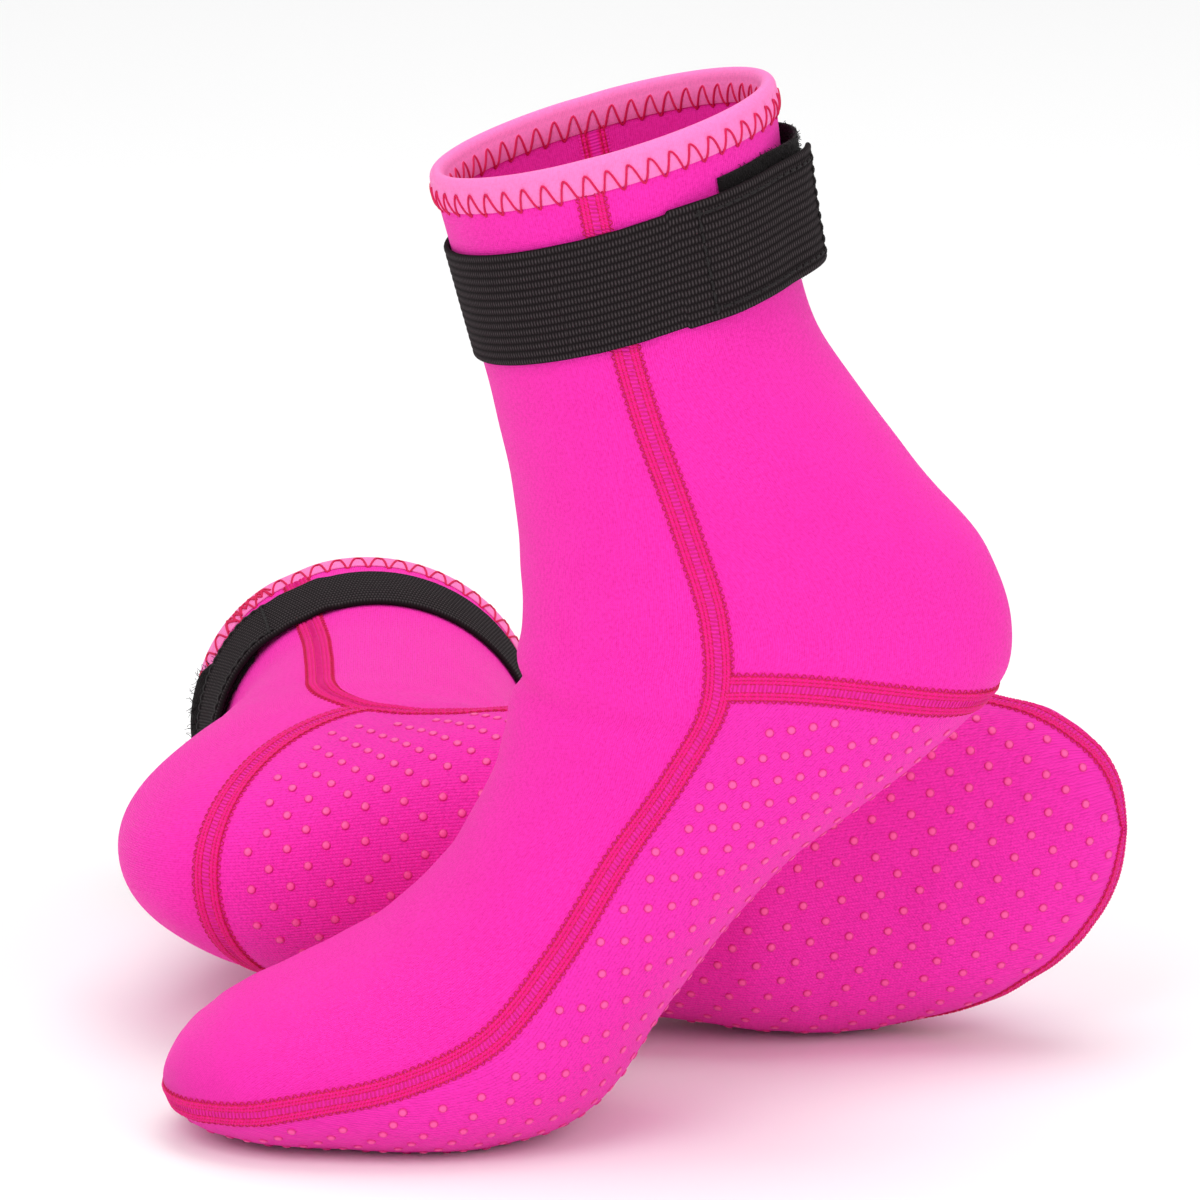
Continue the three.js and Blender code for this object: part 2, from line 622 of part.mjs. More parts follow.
const pair = new THREE.Group();
const hinges = {};
for (const boot of [RIGHT, LEFT]) {
  for (const [name, make, look] of PIECES) {
    const mesh = new THREE.Mesh(make(boot), new THREE.MeshStandardMaterial(look));
    mesh.name = `${boot.name}_${name}`;
    pair.add(mesh);
  }
  hinges[`${boot.name}_strap`] = hingeLine(boot, STRAP_HINGE);
  hinges[`${boot.name}_tab`] = hingeLine(boot, TAB_HINGE);
}

// The origin is below the middle of the pair, on the floor.
const box = new THREE.Box3().setFromObject(pair);
const middle = box.getCenter(new THREE.Vector3());
pair.position.set(-middle.x, -middle.y, -box.min.z);
for (const hinge of Object.values(hinges)) hinge.point.add(pair.position);
pair.userData.hinges = hinges;

export default pair;
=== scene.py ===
"""A pair of neoprene boots: knit panels, flatlock seams, bound cuffs, dotted soles, ankle straps.

Every piece is laid on one skin per boot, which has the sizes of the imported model's. A place on
the skin is a station, from the cuff (0) to the tip of the toes (15), and a share of half the
girth there, from 0 on the shin and instep to 1 on the heel and sole; a negative share is on
the inner ankle's side. Sizes are in millimetres until a mesh is made, which is in metres.
"""

import json

import bmesh
import bpy
import numpy as np
from bpy.props import FloatProperty, FloatVectorProperty, PointerProperty
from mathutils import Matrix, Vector


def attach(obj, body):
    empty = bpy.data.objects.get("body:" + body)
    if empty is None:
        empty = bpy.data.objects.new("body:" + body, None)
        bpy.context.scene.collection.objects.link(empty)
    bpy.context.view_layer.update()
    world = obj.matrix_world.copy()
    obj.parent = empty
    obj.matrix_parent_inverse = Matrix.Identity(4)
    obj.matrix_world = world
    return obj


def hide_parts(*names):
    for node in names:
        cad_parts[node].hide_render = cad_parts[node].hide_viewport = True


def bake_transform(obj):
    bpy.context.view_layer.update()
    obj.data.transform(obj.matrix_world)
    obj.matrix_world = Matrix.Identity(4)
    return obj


bl_info = {
    "name": "Neoprene Boots",
    "version": (1, 0, 0),
    "blender": (4, 5, 0),
    "location": "View3D > Sidebar > Boots",
    "description": "Builds the cloth, seams and straps of a pair of neoprene boots round their frame",
    "category": "Object",
}

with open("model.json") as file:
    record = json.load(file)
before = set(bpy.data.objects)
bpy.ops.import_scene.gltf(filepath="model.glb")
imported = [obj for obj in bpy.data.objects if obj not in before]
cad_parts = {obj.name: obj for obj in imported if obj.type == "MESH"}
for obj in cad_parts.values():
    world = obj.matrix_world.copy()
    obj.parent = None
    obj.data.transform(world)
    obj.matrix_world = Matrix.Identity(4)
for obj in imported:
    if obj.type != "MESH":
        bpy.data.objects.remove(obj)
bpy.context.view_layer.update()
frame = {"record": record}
MM = 0.001
ORIGIN = np.array(next(m["pos_m"] for m in frame["record"]["mounts"] if m["name"] == "ball_rest"))

# ---- Sizes shared with the frame, in millimetres ---------------------------------------------
NEOPRENE = 3.0
PANEL_GAP = 0.3
SEAM_WIDTH = 6.9
SEAM_TOP = 1.3
STRAP_WIDTH = 30.0
STRAP_THICKNESS = 1.5
STRAP_DROP_FRONT = 20.0
STRAP_DROP_BACK = 18.5
STRAP_TOP = 3.3
STRAP_ANCHOR = 0.7
STRAP_HINGE = -0.14
TAB_HINGE = -0.59
TAB_END = -0.985
FREE_MIDDLE = (STRAP_HINGE + TAB_HINGE) / 2
HOOK_START = -0.72
LOOP_START = -0.72
LOOP_END = -1.24
LOOP_DROP = 15.0
LOOP_WIDTH = 35.0
TAPE_MARGIN = 2.5
TAPE_TOP = 3.1
ANCHOR_STITCH = 12.0
TAB_STITCH_START = -0.66
BINDING_DEPTH = 9.0
DOT_HEIGHT = 0.42
HEEL_SEAM_SIDE = 4.8
HEEL_SEAM_BACK = 5.35
HEEL_STEP = 24.0                     # from one station to the next, near the heel seam
PANEL_DROP = 1.5                     # cuff's edge to the top of the panels
STRAP_STATION = 2.0                  # where a strap's shares are counted as lengths
FOLD_DEPTH = 3.0                     # cuff's edge to the end of the tape's fold
NEEDLE_LINES = (1.12, 2.08, 3.08)    # from the middle of a seam
COVER_LINES = (1.6, 2.58)
EDGE_LINE = 3.62
DOT_CLEARANCE = SEAM_WIDTH / 2 + 3.5
VIEW_CENTRE = (0.0522, 0.0353, 0.1317)

# Outline of a boot on tiptoe: shin and instep x, z; heel and sole x, z; half width; lean to
# the big toe; the seam's share of half the girth.
LAST = np.array([
    (-8.4, 255.5, -96.5, 280.0, 38.5, 0, 0.465),
    (-17.8, 221.0, -101.0, 243.0, 39.0, 0, 0.468),
    (-26.1, 189.7, -108.5, 214.0, 37.0, 0, 0.468),
    (-31.0, 160.0, -131.0, 181.0, 36.5, 0, 0.455),
    (-32.0, 138.0, -152.5, 154.0, 36.5, 0, 0.440),
    (-30.8, 122.0, -158.0, 125.0, 36.5, 0, 0.430),
    (-27.5, 105.5, -137.5, 101.5, 37.0, 0, 0.430),
    (-22.5, 91.0, -102.0, 74.0, 39.0, 0, 0.460),
    (-13.0, 73.5, -73.5, 39.5, 42.0, 0, 0.480),
    (1.0, 58.5, -53.0, 9.5, 45.0, 0, 0.475),
    (19.0, 47.0, -27.0, -1.6, 45.8, 2, 0.475),
    (37.0, 38.8, 6.0, -2.0, 42.0, 5.5, 0.495),
    (49.5, 31.8, 31.0, -0.6, 35.0, 9, 0.515),
    (57.5, 24.5, 47.0, 2.2, 25.0, 11.5, 0.515),
    (61.2, 17.5, 56.5, 6.5, 14.0, 13, 0.510),
    (61.6, 11.5, 61.6, 11.5, 0.0, 13.5, 0.505),
])
TIP = len(LAST) - 1
PANEL_END = TIP - 0.25
SHAFT_ROUNDNESS = 2.0
INSTEP_ROUNDNESS = 2.1
SOLE_ROUNDNESS = 2.35
FOOT_STATION = 6.0
HEEL_STATION = 4.6
HEEL_SPREAD = 1.7
HEEL_TAPER = 0.14
WALK_STEPS = 48

# A bend turns all that is on the cuff's side of a pivot: degrees, pivot x and z, stations.
TOES_FLAT = (45.0, -22.0, 28.0, 7.6, 11.4)
ANKLE_BACK = (-28.0, -95.0, 125.0, 2.6, 6.4)
LYING_X = 130.0
LYING_Y = 56.0
LYING_PRESS = 1.0
SHAFT_TWIST = -0.07
SEAM_DRIFT = 0.112
CUFF_FLARE = 1.5
FASTENED = 0.9


def mix(a, b, f):
    return a + (b - a) * f


def ease(start, end, value):
    f = np.clip((value - start) / (end - start), 0, 1)
    return f * f * (3 - 2 * f)


def wrap(share):
    """A share between -1 and 1."""
    return share - 2 * np.round(share / 2)


def together(*values):
    """Numbers or arrays as arrays of one shape."""
    return np.broadcast_arrays(*(np.asarray(value, float) for value in values))


def travelled(points):
    """The way from the first point to each one, along the line through them."""
    return np.concatenate([[0], np.cumsum(np.linalg.norm(np.diff(points, axis=0), axis=1))])


def last_at(station):
    """The last's rows at any stations, on a smooth curve through them."""
    index = np.clip(np.floor(station).astype(int), 0, TIP - 1)
    f = (station - index)[:, None]
    start, end = LAST[index], LAST[index + 1]
    first, final = (index == 0)[:, None], (index == TIP - 1)[:, None]
    before = np.where(first, 2 * start - end, LAST[np.maximum(index - 1, 0)])
    after = np.where(final, 2 * end - start, LAST[np.minimum(index + 2, TIP)])
    square = 2 * before - 5 * start + 4 * end - after
    cube = 3 * start - before - 3 * end + after
    return 0.5 * (2 * start + (end - before) * f + square * f**2 + cube * f**3)


class Skin:
    """The surface that every piece of one boot is laid on."""

    def __init__(self, name, lies):
        self.name = name
        self.lies = lies
        self.bends = (ANKLE_BACK, TOES_FLAT) if lies else ()
        self.lean = 1.0 if lies else 0.55
        self.tilt, self.height = self.rest() if lies else (0.0, 0.0)
        self.cuff_table = None

    def widen(self, station):
        return mix(1.08, 1.02, ease(1, 4, station)) if self.lies else np.ones_like(station)

    def twist(self, station):
        return SHAFT_TWIST * (1 - ease(3, 8, station)) * self.lies

    def floor_layer(self, station):
        return mix(STRAP_TOP, SEAM_TOP, ease(2.6, 4.4, station))

    def sections(self, station):
        """Outline points, half width, shift and the walk round each half section."""
        rows = last_at(station)
        ends = []
        for column in (0, 2):
            x, z = rows[:, column], rows[:, column + 1]
            for degrees, pivot_x, pivot_z, start, end in self.bends:
                turn = np.radians(degrees) * (1 - ease(start, end, station))
                away_x, away_z = x - pivot_x, z - pivot_z
                x = pivot_x + away_x * np.cos(turn) - away_z * np.sin(turn)
                z = pivot_z + away_x * np.sin(turn) + away_z * np.cos(turn)
            ends.append(np.stack([x, z], axis=1))
        front, back = ends
        half = np.maximum(rows[:, 4], 0) * self.widen(station)
        foot = ease(FOOT_STATION - 2, FOOT_STATION + 2, station)[:, None]
        taper = HEEL_TAPER * np.exp(-(((station - HEEL_STATION) / HEEL_SPREAD) ** 2))[:, None]
        angle = np.pi * np.arange(WALK_STEPS + 1) / WALK_STEPS
        cos = np.cos(angle)[None, :]
        squareness = mix(SHAFT_ROUNDNESS, np.where(cos > 0, INSTEP_ROUNDNESS, SOLE_ROUNDNESS), foot)
        along = -np.sign(cos) * np.abs(cos) ** (2 / squareness)
        across = np.abs(np.sin(angle))[None, :] ** (2 / squareness) * (1 - taper * along)
        half_chord = np.linalg.norm(front - back, axis=1)[:, None] / 2
        steps = np.hypot(np.diff(along) * half_chord, np.diff(across) * half[:, None])
        girth = np.concatenate([np.zeros((len(station), 1)), np.cumsum(steps, axis=1)], axis=1)
        return front, back, half, rows[:, 5] * self.lean, along, across, girth

    def bare(self, station, share):
        """Points of the skin in the boot's own x, y (outwards) and z."""
        station, share = together(station, share)
        shape = station.shape
        some, which = np.unique(np.round(station.ravel(), 7), return_inverse=True)
        which = which.ravel()
        front, back, half, shift, along, across, girth = self.sections(some)
        twisted = share.ravel() + self.twist(station.ravel())
        wrapped = wrap(twisted)
        reach = np.abs(wrapped) * girth[which, -1]
        high = np.clip((girth[which] < reach[:, None]).sum(axis=1), 1, WALK_STEPS)
        low = high - 1
        span = np.maximum(girth[which, high] - girth[which, low], 1e-9)
        f = np.clip((reach - girth[which, low]) / span, 0, 1)
        at = (1 + mix(along[which, low], along[which, high], f)) / 2
        out = mix(across[which, low], across[which, high], f) * np.sign(wrapped)
        x = mix(front[which, 0], back[which, 0], at)
        z = mix(front[which, 1], back[which, 1], at)
        return np.stack([x, out * half[which] - shift[which], z], axis=1).reshape(*shape, 3)

    def normal(self, station, share):
        station, share = together(station, share)
        s = np.minimum(station, TIP - 0.06)
        along = self.bare(s + 0.05, share) - self.bare(s - 0.05, share)
        round_it = self.bare(s, share + 0.01) - self.bare(s, share - 0.01)
        normal = np.cross(along, round_it)
        normal /= np.linalg.norm(normal, axis=-1, keepdims=True)
        front, back, *_ = self.sections(np.array([TIP - 1.0]))
        nose = self.bare(np.array([float(TIP)]), np.array([0.0]))[0]
        inside = np.array([(front[0, 0] + back[0, 0]) / 2 - 8, nose[1], (front[0, 1] + back[0, 1]) / 2])
        nose = (nose - inside) / np.linalg.norm(nose - inside)
        near_tip = ease(TIP - 0.6, TIP, station)[..., None]
        normal = mix(normal, nose, near_tip)
        return normal / np.linalg.norm(normal, axis=-1, keepdims=True)

    def placed(self, local):
        """The boot's own axes turned into the pair's."""
        if not self.lies:
            return local * (-1, 1, 1)
        cos, sin = np.cos(self.tilt), np.sin(self.tilt)
        x, y, z = local[..., 0], local[..., 1], local[..., 2]
        parts = x + LYING_X, z * cos - y * sin + LYING_Y, self.height - z * sin - y * cos
        return np.stack(parts, axis=-1)

    def rest(self):
        """Tilt and height of the lying boot, which rests on its ball's edge and on its strap."""
        low = []
        for start, end, layer in ((8, 11, SEAM_TOP), (1.2, 3, STRAP_TOP)):
            stations, shares = np.arange(start, end + 0.001, 0.1), np.arange(0.3, 0.8, 0.01)
            station, share = np.meshgrid(stations, shares, indexing="ij")
            points = self.bare(station, share).reshape(-1, 3)
            lowest = points[points[:, 1].argmax()]
            low.append((lowest[1] + layer, lowest[2]))
        (ball, ball_z), (ankle, ankle_z) = low
        tilt = np.arctan2(ball - ankle, ankle_z - ball_z)
        return tilt, ball * np.cos(tilt) + ball_z * np.sin(tilt) - LYING_PRESS

    def relief(self, station, share):
        """How the soft foam swells and sinks: furrows under the seams, one fold at the instep."""
        share = wrap(share)
        girth = self.girth(station)
        beside = (np.abs(share) - self.seam(station)) * girth
        behind = ease(-4, 4, beside)
        heel = heel_station(self.round_heel(station, share))
        along = (station - heel) * HEEL_STEP
        furrow = 0.45 * np.exp(-((beside / 5.5) ** 2)) + 0.4 * np.exp(-((along / 5.5) ** 2)) * behind
        turn = np.pi * share
        ripple = np.sin(2 * turn + station * 1.9 + 0.4) * np.sin(station * 2.7 - turn)
        ripple += 0.5 * np.sin(4 * turn - station * 3.3) * np.sin(station * 5.9 + turn)
        soft = 0.3 * ripple * ease(0.8, 2.0, station) * (1 - ease(12, 14, station))
        if self.lies:
            return soft - furrow + CUFF_FLARE * (1 - ease(0, 0.5, station))
        bent = np.exp(-((share / 0.32) ** 2))
        fold = station - 5.05 - 1.1 * np.abs(share)
        crease = np.exp(-((fold / 0.16) ** 2)) - 0.7 * np.exp(-(((fold - 0.42) / 0.3) ** 2))
        return soft - furrow - 1.5 * bent * (crease - 0.55 * np.exp(-(((fold + 0.45) / 0.3) ** 2)))

    def girth(self, station):
        station = np.asarray(station, float)
        some, which = np.unique(np.round(station.ravel(), 7), return_inverse=True)
        return self.sections(some)[-1][which.ravel(), -1].reshape(station.shape)

    def seam(self, station):
        """The side seams' share, which the lying boot's twisted shaft carries to the back."""
        station = np.asarray(station, float)
        moved = SEAM_DRIFT * (1 - ease(1.2, 4.9, station)) * self.lies
        return last_at(station.ravel())[:, 6].reshape(station.shape) + moved

    def girth_at(self, station):
        return self.girth(np.array([station]))[0]

    def seam_at(self, station):
        return self.seam(np.array([station]))[0]

    def round_heel(self, station, share):
        """0 at the inner side seam, 1 at the outer one, 0.5 down the back."""
        seam = self.seam(station)
        backwards = np.where(share < 0, -share, 2 - share)
        return np.clip((backwards - seam) / (2 - 2 * seam), 0, 1)

    def layer(self, station, share, offset):
        """Points of a layer in the row frame, in millimetres, pressed flat at the floor."""
        station, share = together(station, share)
        lifted = (offset + self.relief(station, share))[..., None]
        points = self.placed(self.bare(station, share) + self.normal(station, share) * lifted)
        floor = (self.floor_layer(station) if self.lies else DOT_HEIGHT) - np.asarray(offset)
        points[..., 2] = np.maximum(points[..., 2], floor)
        return points + ORIGIN / MM

    def lay(self, station, share):
        """The skin's outward direction, in the row frame."""
        station, share = together(station, share)
        local = self.bare(station, share)
        return self.placed(local + self.normal(station, share)) - self.placed(local)

    def below_cuff(self, share, drop):
        """Stations reached by going down from the cuff's edge by a drop in millimetres."""
        if self.cuff_table is None:
            shares = np.linspace(-1.3, 1.3, 261)
            stations = np.arange(0, 5.01, 0.04)
            points = self.bare(stations[:, None], shares[None, :])
            steps = np.linalg.norm(np.diff(points, axis=0), axis=-1)
            reach = np.concatenate([np.zeros((1, len(shares))), np.cumsum(steps, axis=0)])
            drops = np.arange(0, 100.5, 0.5)
            table = np.stack([np.interp(drops, reach[:, k], stations) for k in range(len(shares))])
            self.cuff_table = (shares, drops, table)
        shares, drops, table = self.cuff_table
        share, drop = together(share, drop)
        i = np.clip((share - shares[0]) / 0.01, 0, len(shares) - 1.001)
        j = np.clip(drop / 0.5, 0, len(drops) - 1.001)
        i0, j0 = i.astype(int), j.astype(int)
        fi, fj = i - i0, j - j0
        upper = mix(table[i0, j0], table[i0 + 1, j0], fi)
        lower = mix(table[i0, j0 + 1], table[i0 + 1, j0 + 1], fi)
        return mix(upper, lower, fj)


def tape_rise(drop):
    """How far the cuff's tape stands off the panels: plump below its fold, thin at its edge."""
    return 0.42 + 0.5 * np.sin(np.pi * np.clip((BINDING_DEPTH - drop) / 6.4, 0, 1)) ** 0.7


def heel_station(w):
    return mix(HEEL_SEAM_SIDE, HEEL_SEAM_BACK, ease(0, 1, 1 - np.abs(2 * w - 1)))


SKINS = (Skin("right", lies=False), Skin("left", lies=True))


# ---- Meshes ------------------------------------------------------------------------------------
def link(name, mesh):
    piece = bpy.data.objects.new(name, mesh)
    bpy.context.scene.collection.objects.link(piece)
    return piece


def mesh_piece(name, points, quads, cut, material, sharp=50):
    """A closed mesh from points in millimetres and quads; cut holds its flat pattern's places."""
    a, b, c, d = (points[quads[:, k]] for k in range(4))
    volume = (a * np.cross(b, c)).sum() + (a * np.cross(c, d)).sum()
    if volume < 0:
        quads = quads[:, ::-1]
    mesh = bpy.data.meshes.new(name)
    mesh.vertices.add(len(points))
    mesh.vertices.foreach_set("co", (points * MM).astype(np.float32).ravel())
    mesh.loops.add(quads.size)
    mesh.loops.foreach_set("vertex_index", quads.astype(np.int32).ravel())
    mesh.polygons.add(len(quads))
    mesh.polygons.foreach_set("loop_start", np.arange(0, quads.size, 4, dtype=np.int32))
    mesh.polygons.foreach_set("loop_total", np.full(len(quads), 4, dtype=np.int32))
    mesh.update(calc_edges=True)
    layer = mesh.uv_layers.new(name="cut")
    layer.data.foreach_set("uv", cut[quads.ravel()].astype(np.float32).ravel())
    mesh.validate()
    mesh.materials.append(material)
    mesh.shade_smooth()
    mesh.set_sharp_from_angle(angle=np.radians(sharp))
    return link(name, mesh)


def store(mesh, name, values):
    """Gives a mesh's corners a number each, or a vector each."""
    kind, field = ("FLOAT", "value") if values.ndim == 1 else ("FLOAT_VECTOR", "vector")
    mesh.attributes.new(name, kind, "POINT").data.foreach_set(field, values.astype(np.float32).ravel())


def grid_quads(rows, columns, base=0, closed=False):
    i, j = np.meshgrid(np.arange(rows - 1), np.arange(columns - (not closed)), indexing="ij")
    k = (j + 1) % columns
    quads = [i * columns + j, (i + 1) * columns + j, (i + 1) * columns + k, i * columns + k]
    return np.stack([q.ravel() for q in quads], axis=1) + base


def pattern(points):
    """Places on the flat pattern in millimetres: lengths along the rows and across the columns."""
    down = np.linalg.norm(np.diff(points, axis=0), axis=-1)
    over = np.linalg.norm(np.diff(points, axis=1), axis=-1)
    u = np.concatenate([np.zeros((1, points.shape[1])), np.cumsum(down, axis=0)])
    v = np.concatenate([np.zeros((points.shape[0], 1)), np.cumsum(over, axis=1)], axis=1)
    v -= v[:, v.shape[1] // 2][:, None]
    return np.stack([u, v], axis=-1)


def shell(name, skin, station, share, low, high, material, cut=None):
    """A closed layer over a patch of skin, between two offsets."""
    under, over = skin.layer(station, share, low), skin.layer(station, share, high)
    rows, columns = station.shape
    count = rows * columns
    cut = pattern(over) if cut is None else cut
    top = grid_quads(rows, columns)
    bottom = grid_quads(rows, columns, count)[:, ::-1]
    ring = np.concatenate([
        np.arange(columns), columns * np.arange(2, rows + 1) - 1,
        columns * (rows - 1) + np.arange(columns - 2, -1, -1), columns * np.arange(rows - 2, 0, -1),
    ])
    ahead = np.roll(ring, -1)
    rim = np.stack([ring, ahead, ahead + count, ring + count], axis=1)
    points = np.concatenate([over.reshape(-1, 3), under.reshape(-1, 3)])
    places = np.concatenate([cut.reshape(-1, 2)] * 2)
    return mesh_piece(name, points, np.concatenate([top, bottom, rim]), places, material)


def tube(name, points, cut, material):
    """A closed tube from a grid of rings, whose rows and columns both run round."""
    rows, columns, _ = points.shape
    wrapped = np.concatenate([points, points[:1]])
    quads = grid_quads(rows + 1, columns, closed=True)
    body = mesh_piece(name, wrapped.reshape(-1, 3), quads, cut.reshape(-1, 2), material)
    weld(body)
    return body


def weld(piece, distance=1e-6):
    """Merges the corners that lie on each other, and drops faces without area."""
    work = bmesh.new()
    work.from_mesh(piece.data)
    bmesh.ops.remove_doubles(work, verts=work.verts, dist=distance)
    bmesh.ops.dissolve_degenerate(work, edges=work.edges, dist=1e-7)
    work.to_mesh(piece.data)
    work.free()


def rounded_steps(length, radius, count):
    """Places along a width whose two edges are rounded, and how full the cloth is there."""
    near = radius * (1 - np.cos(np.linspace(0, np.pi / 2, 5)))
    middle = np.linspace(radius, length - radius, count)
    places = np.concatenate([near[:-1], middle, length - near[-2::-1]])
    edge = np.minimum(np.minimum(places, length - places) / radius, 1)
    return places, np.sqrt(np.maximum(1 - (1 - edge) ** 2, 0))


# ---- Node trees --------------------------------------------------------------------------------
def wire(tree, kind, inputs=(), **settings):
    node = tree.nodes.new(kind)
    for key, value in settings.items():
        setattr(node, key, value)
    for key, value in dict(inputs).items():
        if isinstance(value, bpy.types.NodeSocket):
            tree.links.new(value, node.inputs[key])
        else:
            node.inputs[key].default_value = value
    return node


def calc(tree, operation, *values):
    return wire(tree, "ShaderNodeMath", dict(enumerate(values)), operation=operation).outputs[0]


def times(tree, first, second):
    return calc(tree, "MULTIPLY", first, second)


def waves(tree, value):
    """Rounded ridges, one for each whole step of a value: the size of sin(pi value)."""
    return calc(tree, "ABSOLUTE", calc(tree, "SINE", times(tree, value, np.pi)))


def vector(tree, *values):
    """A vector from its parts; None leaves one at 0."""
    parts = {k: value for k, value in enumerate(values) if value is not None}
    return wire(tree, "ShaderNodeCombineXYZ", parts).outputs[0]


def group(tree_name, make):
    """A node tree that is made when it is first asked for."""
    return bpy.data.node_groups.get(tree_name) or make()


def growth_tree(name, sizes):
    """A Geometry Nodes tree with a geometry, named sizes and a material."""
    tree = bpy.data.node_groups.new(name, "GeometryNodeTree")
    tree.is_modifier = True
    tree.interface.new_socket("Geometry", in_out="INPUT", socket_type="NodeSocketGeometry")
    for size, default in sizes.items():
        kind = "NodeSocketInt" if isinstance(default, int) else "NodeSocketFloat"
        tree.interface.new_socket(size, in_out="INPUT", socket_type=kind).default_value = default
    tree.interface.new_socket("Material", in_out="INPUT", socket_type="NodeSocketMaterial")
    tree.interface.new_socket("Geometry", in_out="OUTPUT", socket_type="NodeSocketGeometry")
    return tree, tree.nodes.new("NodeGroupInput").outputs


def close_tree(tree, sizes, geometry):
    real = wire(tree, "GeometryNodeRealizeInstances", {"Geometry": geometry})
    smooth = wire(tree, "GeometryNodeSetShadeSmooth", {"Geometry": real.outputs[0]})
    painted = wire(tree, "GeometryNodeSetMaterial", {
        "Geometry": smooth.outputs[0], "Material": sizes["Material"]})
    wire(tree, "NodeGroupOutput", {"Geometry": painted.outputs[0]})
    return tree


def arc_line(tree, start, middle, end, steps):
    return wire(tree, "GeometryNodeCurveQuadraticBezier", {
        "Resolution": steps, "Start": start, "Middle": middle, "End": end}).outputs[0]


def swept(tree, line, thread, sides):
    """A round thread of one thickness along a line."""
    ring = wire(tree, "GeometryNodeCurvePrimitiveCircle", {
        "Resolution": sides, "Radius": times(tree, thread, 0.5)}, mode="RADIUS")
    return wire(tree, "GeometryNodeCurveToMesh", {
        "Curve": line, "Profile Curve": ring.outputs[0], "Fill Caps": True}).outputs[0]


def thread_arc(tree, length, thread, arch, sides=5, steps=4):
    """One stitch: a short arc of thread along X, whose ends dive into the cloth."""
    half, dive = times(tree, length, 0.5), times(tree, arch, -1.0)
    start, end = vector(tree, times(tree, half, -1.0), None, dive), vector(tree, half, None, dive)
    middle = vector(tree, None, None, times(tree, arch, 3.0))
    return swept(tree, arc_line(tree, start, middle, end, steps), thread, sides)


def facing(tree):
    """A turn that stands an instance on the skin, its X along the line."""
    lay = wire(tree, "GeometryNodeInputNamedAttribute", {"Name": "lay"}, data_type="FLOAT_VECTOR")
    tangent = tree.nodes.new("GeometryNodeInputTangent")
    return wire(tree, "FunctionNodeAxesToRotation", {
        "Primary Axis": lay.outputs["Attribute"], "Secondary Axis": tangent.outputs[0],
    }, primary_axis="Z", secondary_axis="X").outputs[0]


def stitch_tree():
    """Stitches at an even pitch along lines; Slant turns each, and the next one the other way."""
    sizes = {
        "Pitch": 0.002, "Length": 0.0016, "Thread": 0.0005, "Arch": 0.0002, "Slant": 0.0, "Zigzag": 0.0}
    tree, given = growth_tree("stitches on a line", sizes)
    line = wire(tree, "GeometryNodeMeshToCurve", {"Mesh": given["Geometry"]})
    spaced = wire(tree, "GeometryNodeResampleCurve", {
        "Curve": line.outputs[0], "Length": given["Pitch"]}, mode="LENGTH")
    odd = calc(tree, "MODULO", tree.nodes.new("GeometryNodeInputIndex").outputs[0], 2.0)
    sign = calc(tree, "SUBTRACT", times(tree, odd, 2.0), 1.0)
    turn = calc(tree, "ADD", given["Slant"], times(tree, given["Zigzag"], sign))
    spin = wire(tree, "FunctionNodeAxisAngleToRotation", {"Axis": (0, 0, 1), "Angle": turn})
    turned = wire(tree, "FunctionNodeRotateRotation", {
        "Rotation": facing(tree), "Rotate By": spin.outputs[0]}, rotation_space="LOCAL")
    stitch = thread_arc(tree, given["Length"], given["Thread"], given["Arch"])
    laid = wire(tree, "GeometryNodeInstanceOnPoints", {
        "Points": spaced.outputs[0], "Instance": stitch, "Rotation": turned.outputs[0]})
    return close_tree(tree, given, laid.outputs[0])


def thread_tree():
    """One thread swept along a line."""
    tree, given = growth_tree("thread along a line", {"Thread": 0.0006})
    line = wire(tree, "GeometryNodeMeshToCurve", {"Mesh": given["Geometry"]})
    return close_tree(tree, given, swept(tree, line.outputs[0], given["Thread"], 6))


def dot_tree():
    """Rubber dots on points, each a low dome; `crown` runs from its rim to its top."""
    tree, given = growth_tree("grip dots", {"Diameter": 0.002, "Height": 0.0004})
    ball = wire(tree, "GeometryNodeMeshUVSphere", {"Segments": 12, "Rings": 8, "Radius": 1.0})
    place = tree.nodes.new("GeometryNodeInputPosition")
    crown = wire(tree, "ShaderNodeSeparateXYZ", {0: place.outputs[0]}).outputs[2]
    # The crown value drives the dots' painted highlight on top and painted shade at the rim.
    marked = wire(tree, "GeometryNodeStoreNamedAttribute", {
        "Geometry": ball.outputs[0], "Name": "crown", "Value": crown}, data_type="FLOAT", domain="POINT")
    radius = times(tree, given["Diameter"], 0.5)
    size = vector(tree, radius, radius, given["Height"])
    lay = wire(tree, "GeometryNodeInputNamedAttribute", {"Name": "lay"}, data_type="FLOAT_VECTOR")
    turn = wire(tree, "FunctionNodeAlignRotationToVector", {"Vector": lay.outputs["Attribute"]}, axis="Z")
    laid = wire(tree, "GeometryNodeInstanceOnPoints", {
        "Points": given["Geometry"], "Instance": marked.outputs[0], "Rotation": turn.outputs[0],
        "Scale": size})
    return close_tree(tree, given, laid.outputs[0])


